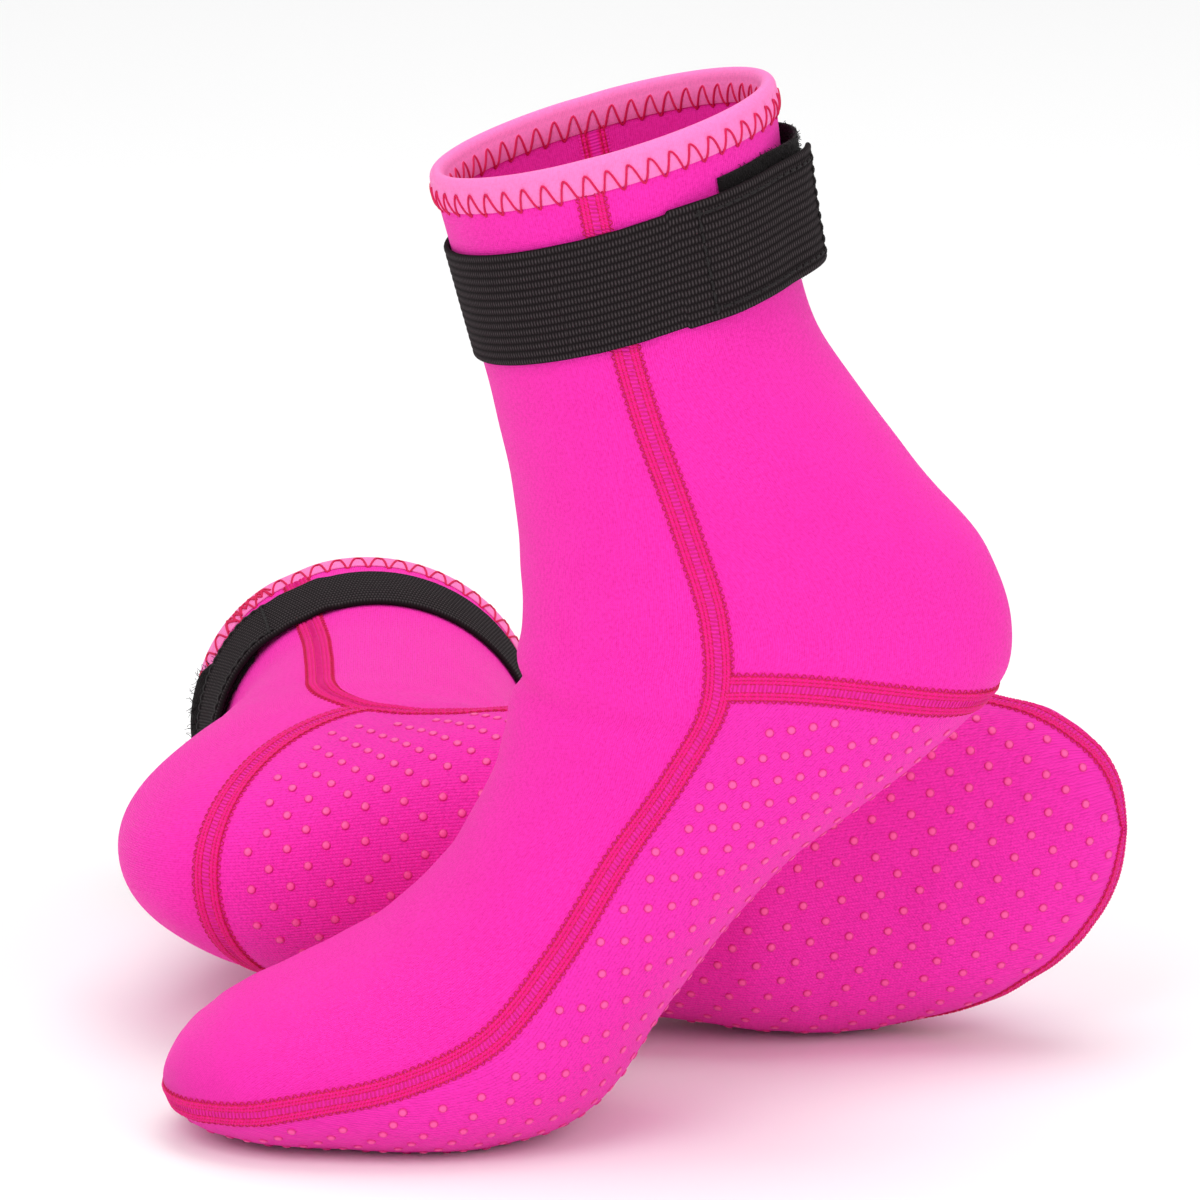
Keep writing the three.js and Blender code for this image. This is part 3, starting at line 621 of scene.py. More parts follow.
def pile_tree():
    """Short curved hairs scattered over a patch, leaning every way."""
    sizes = {"Density": 900000.0, "Length": 0.0016, "Thread": 0.00016, "Lean": 0.7, "Seed": 3}
    tree, given = growth_tree("pile on a patch", sizes)
    spots = wire(tree, "GeometryNodeDistributePointsOnFaces", {
        "Mesh": given["Geometry"], "Density": given["Density"], "Seed": given["Seed"]})
    length = given["Length"]
    bulge = times(tree, length, 0.45)
    middle = vector(tree, bulge, None, times(tree, length, 0.6))
    end = vector(tree, times(tree, bulge, 0.3), None, length)
    hair = swept(tree, arc_line(tree, (0, 0, 0), middle, end, 4), given["Thread"], 3)
    lean = times(tree, given["Lean"], -1.0)
    angles = []
    for seed, (low, high) in enumerate(((lean, given["Lean"]), (lean, given["Lean"]), (-3.14, 3.14)), 5):
        chance = wire(tree, "FunctionNodeRandomValue", {2: low, 3: high, 8: seed}, data_type="FLOAT")
        angles.append(chance.outputs[1])
    turn = wire(tree, "FunctionNodeEulerToRotation", {0: vector(tree, *angles)})
    turned = wire(tree, "FunctionNodeRotateRotation", {
        "Rotation": spots.outputs["Rotation"], "Rotate By": turn.outputs[0]}, rotation_space="LOCAL")
    laid = wire(tree, "GeometryNodeInstanceOnPoints", {
        "Points": spots.outputs["Points"], "Instance": hair, "Rotation": turned.outputs[0]})
    return close_tree(tree, given, laid.outputs[0])


def rib_tree():
    """Raises the ribs of woven elastic: `rise` says where, `across` counts millimetres over it."""
    tree, given = growth_tree("elastic ribs", {"Rib": 2.0, "Height": 0.00022})
    rise = wire(tree, "GeometryNodeInputNamedAttribute", {"Name": "rise"}, data_type="FLOAT_VECTOR")
    across = wire(tree, "GeometryNodeInputNamedAttribute", {"Name": "across"}, data_type="FLOAT")
    phase = calc(tree, "DIVIDE", times(tree, across.outputs["Attribute"], np.pi), given["Rib"])
    rib = calc(tree, "POWER", calc(tree, "ABSOLUTE", calc(tree, "SINE", phase)), 0.7)
    lift = wire(tree, "ShaderNodeVectorMath", {
        0: rise.outputs["Attribute"], "Scale": times(tree, rib, given["Height"])}, operation="SCALE")
    ribbed = wire(tree, "GeometryNodeSetPosition", {
        "Geometry": given["Geometry"], "Offset": lift.outputs[0]})
    return close_tree(tree, given, ribbed.outputs[0])


def grow(name, source, tree, material, **sizes):
    """The mesh that a tree makes of a source, which is then removed."""
    modifier = source.modifiers.new("growth", "NODES")
    modifier.node_group = tree
    wanted = {key.title(): value for key, value in sizes.items()}
    wanted["Material"] = material
    for item in tree.interface.items_tree:
        if item.in_out == "INPUT" and item.name in wanted:
            modifier[item.identifier] = wanted[item.name]
    depsgraph = bpy.context.evaluated_depsgraph_get()
    evaluated = source.evaluated_get(depsgraph)
    mesh = bpy.data.meshes.new_from_object(evaluated, preserve_all_data_layers=True, depsgraph=depsgraph)
    mesh.name = name
    bpy.data.objects.remove(source)
    return link(name, mesh)


def line_source(lines):
    """Loose lines of (points in millimetres, lay) as one mesh for a tree to follow."""
    points = np.concatenate([line for line, _ in lines])
    lays = np.concatenate([lay for _, lay in lines])
    edges, start = [], 0
    for line, _ in lines:
        edges += [(start + k, start + k + 1) for k in range(len(line) - 1)]
        start += len(line)
    mesh = bpy.data.meshes.new("lines")
    mesh.from_pydata((points * MM).tolist(), edges, [])
    store(mesh, "lay", lays)
    return link("lines", mesh)


# ---- Materials ---------------------------------------------------------------------------------
def noise(tree, place, scale, **more):
    return wire(tree, "ShaderNodeTexNoise", {"Vector": place, "Scale": scale, **more}).outputs[0]


def shader_group(name, inputs, outputs):
    tree = bpy.data.node_groups.new(name, "ShaderNodeTree")
    for socket, kind, default in inputs:
        made = tree.interface.new_socket(socket, in_out="INPUT", socket_type=kind)
        if default is not None:
            made.default_value = default
    for socket in outputs:
        tree.interface.new_socket(socket, in_out="OUTPUT", socket_type="NodeSocketFloat")
    return tree, tree.nodes.new("NodeGroupInput").outputs, tree.nodes.new("NodeGroupOutput")


def knit_group():
    """Jersey knit: V-shaped loops in wales and courses, over a slow unevenness of the yarn."""
    tree, given, out = shader_group("jersey knit", (
        ("Place", "NodeSocketVector", None), ("Wale", "NodeSocketFloat", 0.5),
        ("Course", "NodeSocketFloat", 0.5)), ("Height", "Furrow shade", "Mottle"))
    place = wire(tree, "ShaderNodeSeparateXYZ", {0: given["Place"]})
    column = calc(tree, "DIVIDE", place.outputs[1], given["Wale"])
    row = calc(tree, "DIVIDE", place.outputs[0], given["Course"])
    slope = times(tree, calc(tree, "PINGPONG", column, 0.5), 1.2)
    wale = waves(tree, column)
    loop = waves(tree, calc(tree, "ADD", row, slope))
    height = times(tree, calc(tree, "POWER", wale, 0.6), calc(tree, "ADD", 0.45, times(tree, loop, 0.55)))
    slow = noise(tree, given["Place"], 0.09, Detail=3.0, Roughness=0.6)
    fine = noise(tree, given["Place"], 1.1, Detail=2.0, Roughness=0.7)
    mottle = calc(tree, "ADD", times(tree, slow, 0.12), times(tree, fine, 0.88))
    tree.links.new(height, out.inputs["Height"])
    # The furrow output, one less the loops' height, is a painted-shade mask: it darkens the knit's colour in
    # the hollows between the loops.
    tree.links.new(calc(tree, "SUBTRACT", 1.0, height), out.inputs["Furrow shade"])
    tree.links.new(mottle, out.inputs["Mottle"])
    return tree


def elastic_group():
    """Woven elastic: short picks of yarn across each rib, staggered from rib to rib."""
    tree, given, out = shader_group("woven elastic", (
        ("Place", "NodeSocketVector", None), ("Rib", "NodeSocketFloat", 2.0),
        ("Pick", "NodeSocketFloat", 0.9)), ("Height", "Pick"))
    place = wire(tree, "ShaderNodeSeparateXYZ", {0: given["Place"]})
    rib = calc(tree, "DIVIDE", place.outputs[1], given["Rib"])
    shift = times(tree, calc(tree, "MODULO", calc(tree, "FLOOR", rib), 2.0), 0.5)
    pick = calc(tree, "ADD", calc(tree, "DIVIDE", place.outputs[0], given["Pick"]), shift)
    yarn = waves(tree, pick)
    crest = waves(tree, rib)
    uneven = noise(tree, given["Place"], 1.7, Detail=3.0)
    # Painted highlight: the pick output lightens the elastic where the yarn picks rise on the rib crests,
    # with a random unevenness.
    crest_highlight = times(tree, calc(tree, "POWER", yarn, 3.0), calc(tree, "POWER", crest, 1.5))
    height = calc(tree, "ADD", times(tree, yarn, 0.6), times(tree, crest, 0.6))
    tree.links.new(height, out.inputs["Height"])
    tree.links.new(times(tree, crest_highlight, times(tree, uneven, 1.7)), out.inputs["Pick"])
    return tree


def yarn_group():
    """Twisted thread: fine slanting plies and a little fluff."""
    tree, given, out = shader_group("twisted yarn", (
        ("Place", "NodeSocketVector", None), ("Twist", "NodeSocketFloat", 0.4)), ("Height", "Shade"))
    scaled = wire(tree, "ShaderNodeVectorMath", {0: given["Place"], "Scale": 1000.0}, operation="SCALE")
    parts = wire(tree, "ShaderNodeSeparateXYZ", {0: scaled.outputs[0]})
    total = calc(tree, "ADD", calc(tree, "ADD", parts.outputs[0], parts.outputs[1]), parts.outputs[2])
    ply = waves(tree, calc(tree, "DIVIDE", total, given["Twist"]))
    fluff = noise(tree, scaled.outputs[0], 0.8, Detail=2.0)
    tree.links.new(ply, out.inputs["Height"])
    tree.links.new(fluff, out.inputs["Shade"])
    return tree


def new_material(name, roughness, specular=0.3, sheen=0.0):
    material = bpy.data.materials.new(name)
    material.use_nodes = True
    tree = material.node_tree
    tree.nodes.clear()
    shader = wire(tree, "ShaderNodeBsdfPrincipled", {
        "Roughness": roughness, "Specular IOR Level": specular, "Sheen Weight": sheen,
        "Sheen Roughness": 0.5})
    wire(tree, "ShaderNodeOutputMaterial", {"Surface": shader.outputs[0]})
    return material, tree, shader


def blend_colours(tree, factor, first, second):
    """A mix of two colours, each a plain one or a socket."""
    first, second = (
        colour if isinstance(colour, bpy.types.NodeSocket) else (*colour, 1.0) for colour in (first, second))
    return wire(tree, "ShaderNodeMix", {0: factor, 6: first, 7: second}, data_type="RGBA").outputs[2]


def paint(tree, shader, colour, height, strength, distance):
    tree.links.new(colour, shader.inputs["Base Color"])
    bump = wire(tree, "ShaderNodeBump", {"Strength": strength, "Distance": distance, "Height": height})
    tree.links.new(bump.outputs[0], shader.inputs["Normal"])


def knit_material(name, colour, shade, wale, course, roughness, depth, furrow_shade=0.6, sheen=0.05):
    material, tree, shader = new_material(name, roughness, 0.16, sheen)
    place = wire(tree, "ShaderNodeUVMap", uv_map="cut")
    knit = wire(tree, "ShaderNodeGroup", node_tree=group("jersey knit", knit_group))
    tree.links.new(place.outputs[0], knit.inputs["Place"])
    knit.inputs["Wale"].default_value = wale
    knit.inputs["Course"].default_value = course
    # Painted shade in the furrows between the loops, plus a random mottle, mixes the knit's colour towards
    # its darker shade colour.
    shade_and_mottle = calc(tree, "ADD", times(tree, knit.outputs["Furrow shade"], furrow_shade),
                times(tree, calc(tree, "SUBTRACT", knit.outputs["Mottle"], 0.48), 2.6))
    limited = wire(tree, "ShaderNodeClamp", {"Value": shade_and_mottle})
    shown = blend_colours(tree, limited.outputs[0], colour, shade)
    paint(tree, shader, shown, knit.outputs["Height"], depth, 0.0002)
    return material


def yarn_material(name, colour, shade, roughness=0.65):
    material, tree, shader = new_material(name, roughness, 0.3)
    place = wire(tree, "ShaderNodeTexCoord")
    yarn = wire(tree, "ShaderNodeGroup", node_tree=group("twisted yarn", yarn_group))
    tree.links.new(place.outputs["Object"], yarn.inputs["Place"])
    shown = blend_colours(tree, yarn.outputs["Shade"], colour, shade)
    paint(tree, shader, shown, yarn.outputs["Height"], 0.4, 0.0001)
    return material


def elastic_material(name, colour, light, rib, pick):
    material, tree, shader = new_material(name, 0.8, 0.08)
    place = wire(tree, "ShaderNodeUVMap", uv_map="cut")
    weave = wire(tree, "ShaderNodeGroup", node_tree=group("woven elastic", elastic_group))
    tree.links.new(place.outputs[0], weave.inputs["Place"])
    weave.inputs["Rib"].default_value = rib
    weave.inputs["Pick"].default_value = pick
    # The pick output mixes in the lighter colour as painted highlight on the rib crests.
    limited = wire(tree, "ShaderNodeClamp", {"Value": weave.outputs["Pick"]})
    shown = blend_colours(tree, limited.outputs[0], colour, light)
    paint(tree, shader, shown, weave.outputs["Height"], 0.5, 0.0003)
    return material


def seam_material(name, colours):
    """The flatlock band: cover threads in two strips, cloth between and beside them."""
    material, tree, shader = new_material(name, 0.75, 0.15)
    place = wire(tree, "ShaderNodeUVMap", uv_map="cut")
    across = wire(tree, "ShaderNodeSeparateXYZ", {0: place.outputs[0]})
    away = calc(tree, "ABSOLUTE", across.outputs[1])
    strip = wire(tree, "ShaderNodeMapRange", {0: away, 1: 0.9, 2: 1.25, 3: 0.0, 4: 1.0})
    outside = wire(tree, "ShaderNodeMapRange", {0: away, 1: 3.1, 2: 3.35, 3: 0.0, 4: 1.0})
    inner = blend_colours(tree, strip.outputs[0], colours["cloth"], colours["cover"])
    whole = blend_colours(tree, outside.outputs[0], inner, colours["cloth"])
    lines = calc(tree, "SINE", times(tree, across.outputs[0], np.pi / 0.45))
    paint(tree, shader, whole, lines, 0.35, 0.0002)
    return material


def dot_material(name, rim, top):
    material, tree, shader = new_material(name, 0.42, 0.45)
    # Painted highlight and shade: each dome's colour runs from a darker rim colour up to the lighter top
    # colour with its height.
    crown = wire(tree, "ShaderNodeAttribute", attribute_name="crown")
    top_highlight = wire(tree, "ShaderNodeMapRange", {0: crown.outputs["Fac"], 1: 0.5, 2: 0.86, 3: 0.0, 4: 1.0})
    place = wire(tree, "ShaderNodeTexCoord")
    grain = noise(tree, place.outputs["Object"], 1500.0)
    paint(tree, shader, blend_colours(tree, top_highlight.outputs[0], rim, top), grain, 0.2, 0.0001)
    return material


def pile_material(name, colour, light):
    material, tree, shader = new_material(name, 0.9, 0.12, 0.06)
    place = wire(tree, "ShaderNodeTexCoord")
    fluff = noise(tree, place.outputs["Object"], 1800.0, Detail=3.0)
    paint(tree, shader, blend_colours(tree, fluff, colour, light), fluff, 0.9, 0.0005)
    return material


_finishes = {}


def toned(colour, red, green, blue):
    return colour[0] * red, colour[1] * green, colour[2] * blue


def darker(colour, share):
    return toned(colour, share, share, share)


def finish(name):
    """The material of one finish, made when it is first asked for."""
    if name not in _finishes:
        look = bpy.context.scene.boot_colours
        knit, sole, tape = tuple(look.knit), tuple(look.sole), tuple(look.tape)
        thread, black = tuple(look.thread), tuple(look.elastic)
        _finishes.update({
            # The knit finishes' second colours are the painted shade of the furrows between the loops, and
            # also carry the random mottle.
            "knit": knit_material(
                "hot pink jersey", knit, toned(knit, 0.82, 0.25, 0.66), 0.62, 0.5, 0.62, 0.8),
            "sole": knit_material(
                "sole jersey", sole, toned(sole, 0.72, 0.4, 0.7), 0.9, 0.8, 0.6, 0.9, 0.5),
            "tape": knit_material("stretch tape", tape, darker(tape, 0.8), 0.5, 0.45, 0.6, 0.4, 0.5),
            "band": seam_material(
                "flatlock band", {"cloth": darker(knit, 0.85), "cover": tuple(look.cover)}),
            "needle": yarn_material("needle thread", darker(thread, 0.95), darker(thread, 0.65)),
            "cover": yarn_material("cover thread", tuple(look.cover), darker(look.cover, 0.75)),
            "ladder": yarn_material("ladder thread", darker(look.cover, 0.95), darker(look.cover, 0.6)),
            "crimson": yarn_material("crimson thread", thread, darker(thread, 0.7)),
            # The elastic's lighter colour is the painted highlight on its rib crests.
            "elastic": elastic_material("ribbed elastic", black, tuple(look.elastic_highlight), 2.0, 0.9),
            # Rim colour: painted shade round each dome; the dots' colour at the top stands in as painted
            # highlight.
            "dots": dot_material("grip rubber", toned(look.dots, 0.75, 0.1, 0.6), tuple(look.dots)),
            "pile": pile_material("loop pile", darker(black, 0.6), black),
            "hooks": pile_material("hook bristles", darker(black, 0.7), darker(black, 1.3)),
            "black": yarn_material("black thread", darker(black, 0.7), darker(black, 1.4)),
        })
    return _finishes[name]


# ---- Pieces ------------------------------------------------------------------------------------
def dress(piece, body, slot, *nodes):
    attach(piece, body)
    if nodes:
        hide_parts(*nodes)
    return piece


def cloth(piece, held):
    """Works out the size of the flat pattern of a piece cut from cloth, halving the length of a folded one,
    but keeps it nowhere. The piece is returned unchanged.
    """
    cut = np.empty(2 * len(piece.data.loops), np.float32)
    piece.data.uv_layers["cut"].data.foreach_get("uv", cut)
    along, across = (float(span) * MM for span in np.ptp(cut.reshape(-1, 2), axis=0))
    if held == "folded":             # this pattern runs over one face and back along the other
        along /= 2
    return piece


def panel_top(skin, share):
    return skin.below_cuff(share, PANEL_DROP)


def front_panel(skin, rows=190, columns=121):
    down = np.linspace(0, 1, rows)[:, None]
    across = np.linspace(-1, 1, columns)[None, :]
    top = panel_top(skin, across * skin.seam_at(0.0))
    station = mix(top, PANEL_END, down)
    share = across * (skin.seam(station) - PANEL_GAP / 2 / skin.girth(station))
    piece = shell(f"{skin.name}_shin_panel", skin, station, share, -NEOPRENE, 0.0, finish("knit"))
    dress(piece, f"{skin.name}_boot", "pink_knit", f"{skin.name}_front_panel")
    return cloth(piece, "stretched")


def panel_behind(skin, name, node, slot, look, start, end, rows, columns):
    """A panel from side seam to side seam round the back, between two stations for each w."""
    down = np.linspace(0, 1, rows)[:, None]
    w = np.linspace(0, 1, columns)[None, :]
    station = mix(start(w), end(w), down)
    edge = skin.seam(station) + PANEL_GAP / 2 / skin.girth(station)
    share = -mix(edge, 2 - edge, w)
    piece = shell(f"{skin.name}_{name}", skin, station, share, -NEOPRENE, 0.0, finish(look))
    dress(piece, f"{skin.name}_boot", slot, f"{skin.name}_{node}")
    return cloth(piece, "stretched")


def back_share(skin, station, w):
    seam = skin.seam(station)
    return -mix(seam, 2 - seam, w)


def long_seam_path(skin, side_length=0.3):
    """Stations and shares of lines from the inner cuff round the toes to the outer cuff."""
    top = [skin.below_cuff(side * skin.seam_at(0.0), BINDING_DEPTH + side_length) for side in (-1, 1)]

    def turning(x):
        if abs(x) < 1e-6:
            return float(TIP)
        low, high = HEEL_SEAM_SIDE, float(TIP)
        for _ in range(30):
            middle = (low + high) / 2
            seam = skin.seam_at(middle)
            room = (seam if x < 0 else 1 - seam) * skin.girth_at(middle)
            low, high = (middle, high) if room > abs(x) else (low, middle)
        return low

    def path(a, x):
        run = 1 - np.abs(2 * a - 1)
        start = np.where(a < 0.5, top[0], top[1])
        station = mix(start, turning(x), run)
        seam, girth = skin.seam(station), skin.girth(station)
        room = np.where(x < 0, seam, 1 - seam)
        shift = np.sign(x) * np.minimum(abs(x) / np.maximum(girth, 1e-6), room)
        return station, np.where(a < 0.5, -1, 1) * (seam + shift)

    return path


def heel_seam_path(skin):
    """Stations and shares of lines round the heel, from side seam to side seam."""
    def path(a, x):
        seam = heel_station(a)
        girth = skin.girth(seam)
        margin = (SEAM_WIDTH / 2 - 0.6) / girth
        edge = skin.seam(seam) + margin
        share = -mix(edge, 2 - edge, a)
        ahead = skin.bare(seam + 0.05, share) - skin.bare(seam - 0.05, share)
        ahead = np.linalg.norm(ahead, axis=-1) / 0.1
        return seam + x / ahead, share

    return path


def evenly(skin, path, spacing):
    """Values of a that step evenly along the middle of a seam."""
    a = np.linspace(0, 1, 3001)
    station, share = path(a, 0.0)
    points = skin.placed(skin.bare(station, share))
    reach = travelled(points)
    count = int(reach[-1] / spacing) + 1
    return np.interp(np.linspace(0, reach[-1], count), reach, a), reach[-1]


def seam_band(skin, name, path, *nodes):
    a, length = evenly(skin, path, 1.1)
    x = np.linspace(-SEAM_WIDTH / 2, SEAM_WIDTH / 2, 37)
    lines = [path(a, value) for value in x]
    station = np.stack([line[0] for line in lines], axis=1)
    share = np.stack([line[1] for line in lines], axis=1)
    away = np.abs(x)[None, :]
    cords = sum(np.exp(-(((away - line) / 0.43) ** 4)) for line in COVER_LINES)
    high = 0.2 + 0.36 * cords + 0.14 * (away < 1.0) - 0.22 * np.maximum(away - 3.08, 0) / 0.37
    u = np.linspace(0, length, len(a))[:, None]
    cut = np.stack(np.broadcast_arrays(u, x[None, :]), axis=-1)
    high = high + 0 * station
    piece = shell(f"{skin.name}_{name}", skin, station, share, -0.12, high, finish("band"), cut)
    return dress(piece, f"{skin.name}_boot", "flatlock_thread", *nodes)


def seam_lines(skin, paths, x, offset, spacing=1.0):
    """Lines along seams at one distance from their middles, for threads to follow."""
    lines = []
    for path in paths:
        a, _ = evenly(skin, path, spacing)
        station, share = path(a, x)
        lines.append((skin.layer(station, share, offset), skin.lay(station, share)))
    return lines


def stitched(skin, name, lines, look, slot, body=None, nodes=(), **sizes):
    tree = group("stitches on a line", stitch_tree)
    piece = grow(f"{skin.name}_{name}", line_source(lines), tree, finish(look), **sizes)
    return dress(piece, body or f"{skin.name}_boot", slot, *nodes)


def strap_drop(share):
    return mix(STRAP_DROP_FRONT, STRAP_DROP_BACK, (1 - np.cos(np.pi * share)) / 2)


def strap_under(skin, share, station):
    away = np.abs((np.abs(share) - skin.seam(station)) * skin.girth(station))
    over_seam = 1 - ease(SEAM_WIDTH / 2 + 1.5, SEAM_WIDTH / 2 + 6, away)
    on_seam = 0.35 + over_seam * 0.6
    return mix(on_seam, TAPE_TOP - 0.2 - FASTENED * skin.lies, ease(-TAB_HINGE, -HOOK_START, -share))


def pull(skin, share):
    """How far the fastening stands off the back, where the strap's tension leaves the skin."""
    most = 3.4 if not skin.lies else 0.6
    return most * ease(0.84, 0.97, -share) * (1 - ease(1.02, 1.2, -share))


def strap_piece(skin, name, start, end, look, rib, width_step=None, columns=180):
    """A length of ribbed elastic with rounded edges, its ribs raised along it."""
    places, full = rounded_steps(STRAP_WIDTH, 0.7, 121)
    share = np.linspace(start, end, columns)[None, :]
    extra = 0.0 if width_step is None else width_step(share)
    drop = strap_drop(share) + mix(-extra, STRAP_WIDTH + extra, (places / STRAP_WIDTH)[:, None])
    station = skin.below_cuff(share, drop)
    share = np.broadcast_to(share, station.shape)
    under = strap_under(skin, share, station) + pull(skin, share)
    half = STRAP_THICKNESS / 2
    middle = under + half
    low, high = middle - half * full[:, None], middle + (half - 0.15) * full[:, None]
    over = skin.layer(station, share, high)
    along = travelled(over[60])
    cut = np.stack(np.broadcast_arrays(along[None, :], places[:, None]), axis=-1)
    piece = shell("strap_blank", skin, station, share, low, high, finish(look), cut)
    mesh = piece.data
    count = station.size
    rise = np.zeros((len(mesh.vertices), 3), np.float32)
    if len(rise) == 2 * count:
        lay = skin.lay(station, share) * (full**3)[:, None, None]
        rise[:count] = lay.reshape(-1, 3)
    store(mesh, "rise", rise)
    store(mesh, "across", np.tile(np.repeat(places, station.shape[1]), 2))
    tree = group("elastic ribs", rib_tree)
    ribbed = grow(f"{skin.name}_{name}", piece, tree, finish(look), rib=rib, height=0.00018)
    weld(ribbed)
    ribbed.data.set_sharp_from_angle(angle=np.radians(60))
    return ribbed


def blend_over(piece, skin, share, reach=10.0):
    """Bakes a strap's transform into its mesh. The skin points either side of a hinge at one share are
    worked out but not used, so the strap is not bent between two bodies.
    """
    step = reach / skin.girth_at(STRAP_STATION)
    for at in (share + 0.03 * step, share - step):
        at = np.array([at])
        station = skin.below_cuff(at, strap_drop(at) + STRAP_WIDTH / 2)
        skin.layer(station, at, STRAP_TOP)[0] * MM
    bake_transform(piece)


def on_strap(skin, share, width, lift):
    """Points and lays on top of the strap, a width in millimetres down from its upper edge."""
    share, width = together(share, width)
    station = skin.below_cuff(share, strap_drop(share) + width)
    top = strap_under(skin, share, station) + pull(skin, share) + STRAP_THICKNESS + lift
    return skin.layer(station, share, top), skin.lay(station, share)


def box_lines(skin, start, end, lift):
    """The four sides of a box stitch between two shares."""
    low, high = TAPE_MARGIN, STRAP_WIDTH - TAPE_MARGIN
    along, down = np.linspace(start, end, 40), np.linspace(low, high, 30)
    return [on_strap(skin, along, low, lift), on_strap(skin, along, high, lift),
            on_strap(skin, start, down, lift), on_strap(skin, end, down, lift)]


def patch(skin, name, start, end, drop, width, low, high, look, columns=90, curl=0.0):
    """A flat tape with rounded corners laid between two shares; its upper edge may curl away."""
    places, full = rounded_steps(width, 0.45, 30)
    share = np.linspace(start, end, columns)[None, :]
    station = skin.below_cuff(share, drop(share) + places[:, None])
    share = np.broadcast_to(share, station.shape)
    lift = pull(skin, share) + curl * (1 - ease(0, 7, places))[:, None] * ease(0.79, 0.86, -share)
    ends = np.minimum(np.minimum(share - share.min(), share.max() - share) * 130 / 0.45, 1)
    fullness = full[:, None] * np.sqrt(np.maximum(1 - (1 - ends) ** 2, 0))
    middle, half = (low + high) / 2, (high - low) / 2
    under, over = middle - half * fullness + lift, middle + half * fullness + lift
    piece = shell(name, skin, station, share, under, over, finish(look))
    weld(piece, 2e-6)
    return piece


# ---- Settings ----------------------------------------------------------------------------------
def colour(name, description, default):
    return FloatVectorProperty(
        name=name, description=description, default=default, subtype="COLOR", min=0, max=1, size=3)


class BootColours(bpy.types.PropertyGroup):
    knit: colour("Knit", "Jersey of the shin and calf panels", (1.0, 0.027, 0.485))
    sole: colour("Sole", "Jersey of the sole", (0.97, 0.026, 0.47))
    tape: colour("Binding", "Stretch tape round the cuff", (1.0, 0.215, 0.56))
    cover: colour("Cover thread", "Broad threads of the flatlock seams", (0.9, 0.01, 0.27))
    thread: colour("Stitching", "Needle threads and the cuff's zigzag", (0.78, 0.006, 0.1))
    dots: colour("Dots", "Rubber dots on the sole", (0.93, 0.085, 0.36))
    elastic: colour("Elastic", "Woven elastic of the strap", (0.0085, 0.0058, 0.0066))
    # Lighter colour of the painted highlight on the elastic's rib crests.
    elastic_highlight: colour("Elastic picks", "Light yarn that shows in the elastic", (0.065, 0.052, 0.056))


class BootSizes(bpy.types.PropertyGroup):
    zigzag_pitch: FloatProperty(name="Zigzag pitch", description="One stitch of the cuff's zigzag",
                                default=0.0056, unit="LENGTH")
    dot_pitch: FloatProperty(name="Dot pitch", description="Between dots along the foot",
                             default=0.0104, unit="LENGTH")
    dot_diameter: FloatProperty(name="Dot diameter", description="Width of one rubber dot",
                                default=0.0025, unit="LENGTH")
    camera_distance: FloatProperty(name="Camera distance", description="From the camera to the pair",
                                   default=3.5, unit="LENGTH")
    camera_height: FloatProperty(name="Camera elevation", description="Above the horizon",
                                 default=np.radians(15), subtype="ANGLE", unit="ROTATION")


# ---- Operators ---------------------------------------------------------------------------------
class BOOTS_OT_stage(bpy.types.Operator):
    """Sets the camera, a pale floor and soft lights"""

    bl_idname = "boots.stage"
    bl_label = "Stage"

    def execute(self, context):
        sizes = context.scene.boot_sizes
        target = Vector(ORIGIN) + Vector(VIEW_CENTRE)
        rise = sizes.camera_height
        away = Vector((0, -np.cos(rise), np.sin(rise)))
        camera = bpy.data.cameras.new("camera")
        camera.lens = 402
        camera.sensor_width = 36
        camera.clip_end = 50
        holder = bpy.data.objects.new("camera", camera)
        context.scene.collection.objects.link(holder)
        holder.location = target + away * sizes.camera_distance
        holder.rotation_euler = (-away).to_track_quat("-Z", "Y").to_euler()
        context.scene.camera = holder
        context.scene.view_settings.view_transform = "Standard"
        self.floor()
        self.lights(context)
        return {"FINISHED"}

    def floor(self):
        half = 6.0
        mesh = bpy.data.meshes.new("floor")
        corners = [(-half, -half, 0), (half, -half, 0), (half, half, 0), (-half, half, 0)]
        mesh.from_pydata(corners, [], [(0, 1, 2, 3)])
        material, tree, shader = new_material("pale floor", 0.9, 0.1)
        place = wire(tree, "ShaderNodeTexCoord")
        grain = noise(tree, place.outputs["Object"], 3.0)
        colour = blend_colours(tree, grain, (0.94, 0.94, 0.94), (0.96, 0.96, 0.96))
        tree.links.new(colour, shader.inputs["Base Color"])
        mesh.materials.append(material)
        link("floor", mesh)

    def lights(self, context):
        world = bpy.data.worlds.new("studio")
        world.use_nodes = True
        world.node_tree.nodes["Background"].inputs["Color"].default_value = (1, 1, 1, 1)
        world.node_tree.nodes["Background"].inputs["Strength"].default_value = 0.66
        context.scene.world = world
        for name, place, size, power in (
            ("key", (-0.9, -1.6, 1.7), 1.4, 20),
            ("fill", (1.5, -1.5, 1.2), 1.6, 13),
            ("top", (0.1, 0.3, 2.2), 1.8, 18),
        ):
            light = bpy.data.lights.new(name, "AREA")
            light.size = size
            light.energy = power
            lamp = bpy.data.objects.new(name, light)
            context.scene.collection.objects.link(lamp)
            lamp.location = place
            aim = Vector((0, 0, 0.12)) - Vector(place)
            lamp.rotation_euler = aim.to_track_quat("-Z", "Y").to_euler()


class BOOTS_OT_panels(bpy.types.Operator):
    """Lays the shin, calf and sole panels of both boots"""

    bl_idname = "boots.panels"
    bl_label = "Panels"

    def execute(self, context):
        for skin in SKINS:
            front_panel(skin)
            gap = 0.006
            panel_behind(
                skin, "calf_panel", "back_panel", "pink_knit", "knit",
                lambda w, skin=skin: panel_top(skin, wrap(back_share(skin, np.zeros(1), w))),
                lambda w: heel_station(w) - gap, 90, 151)
            panel_behind(
                skin, "sole", "sole_panel", "dotted_sole_knit", "sole",
                lambda w: heel_station(w) + gap, lambda w: 0 * w + PANEL_END, 160, 151)
        return {"FINISHED"}


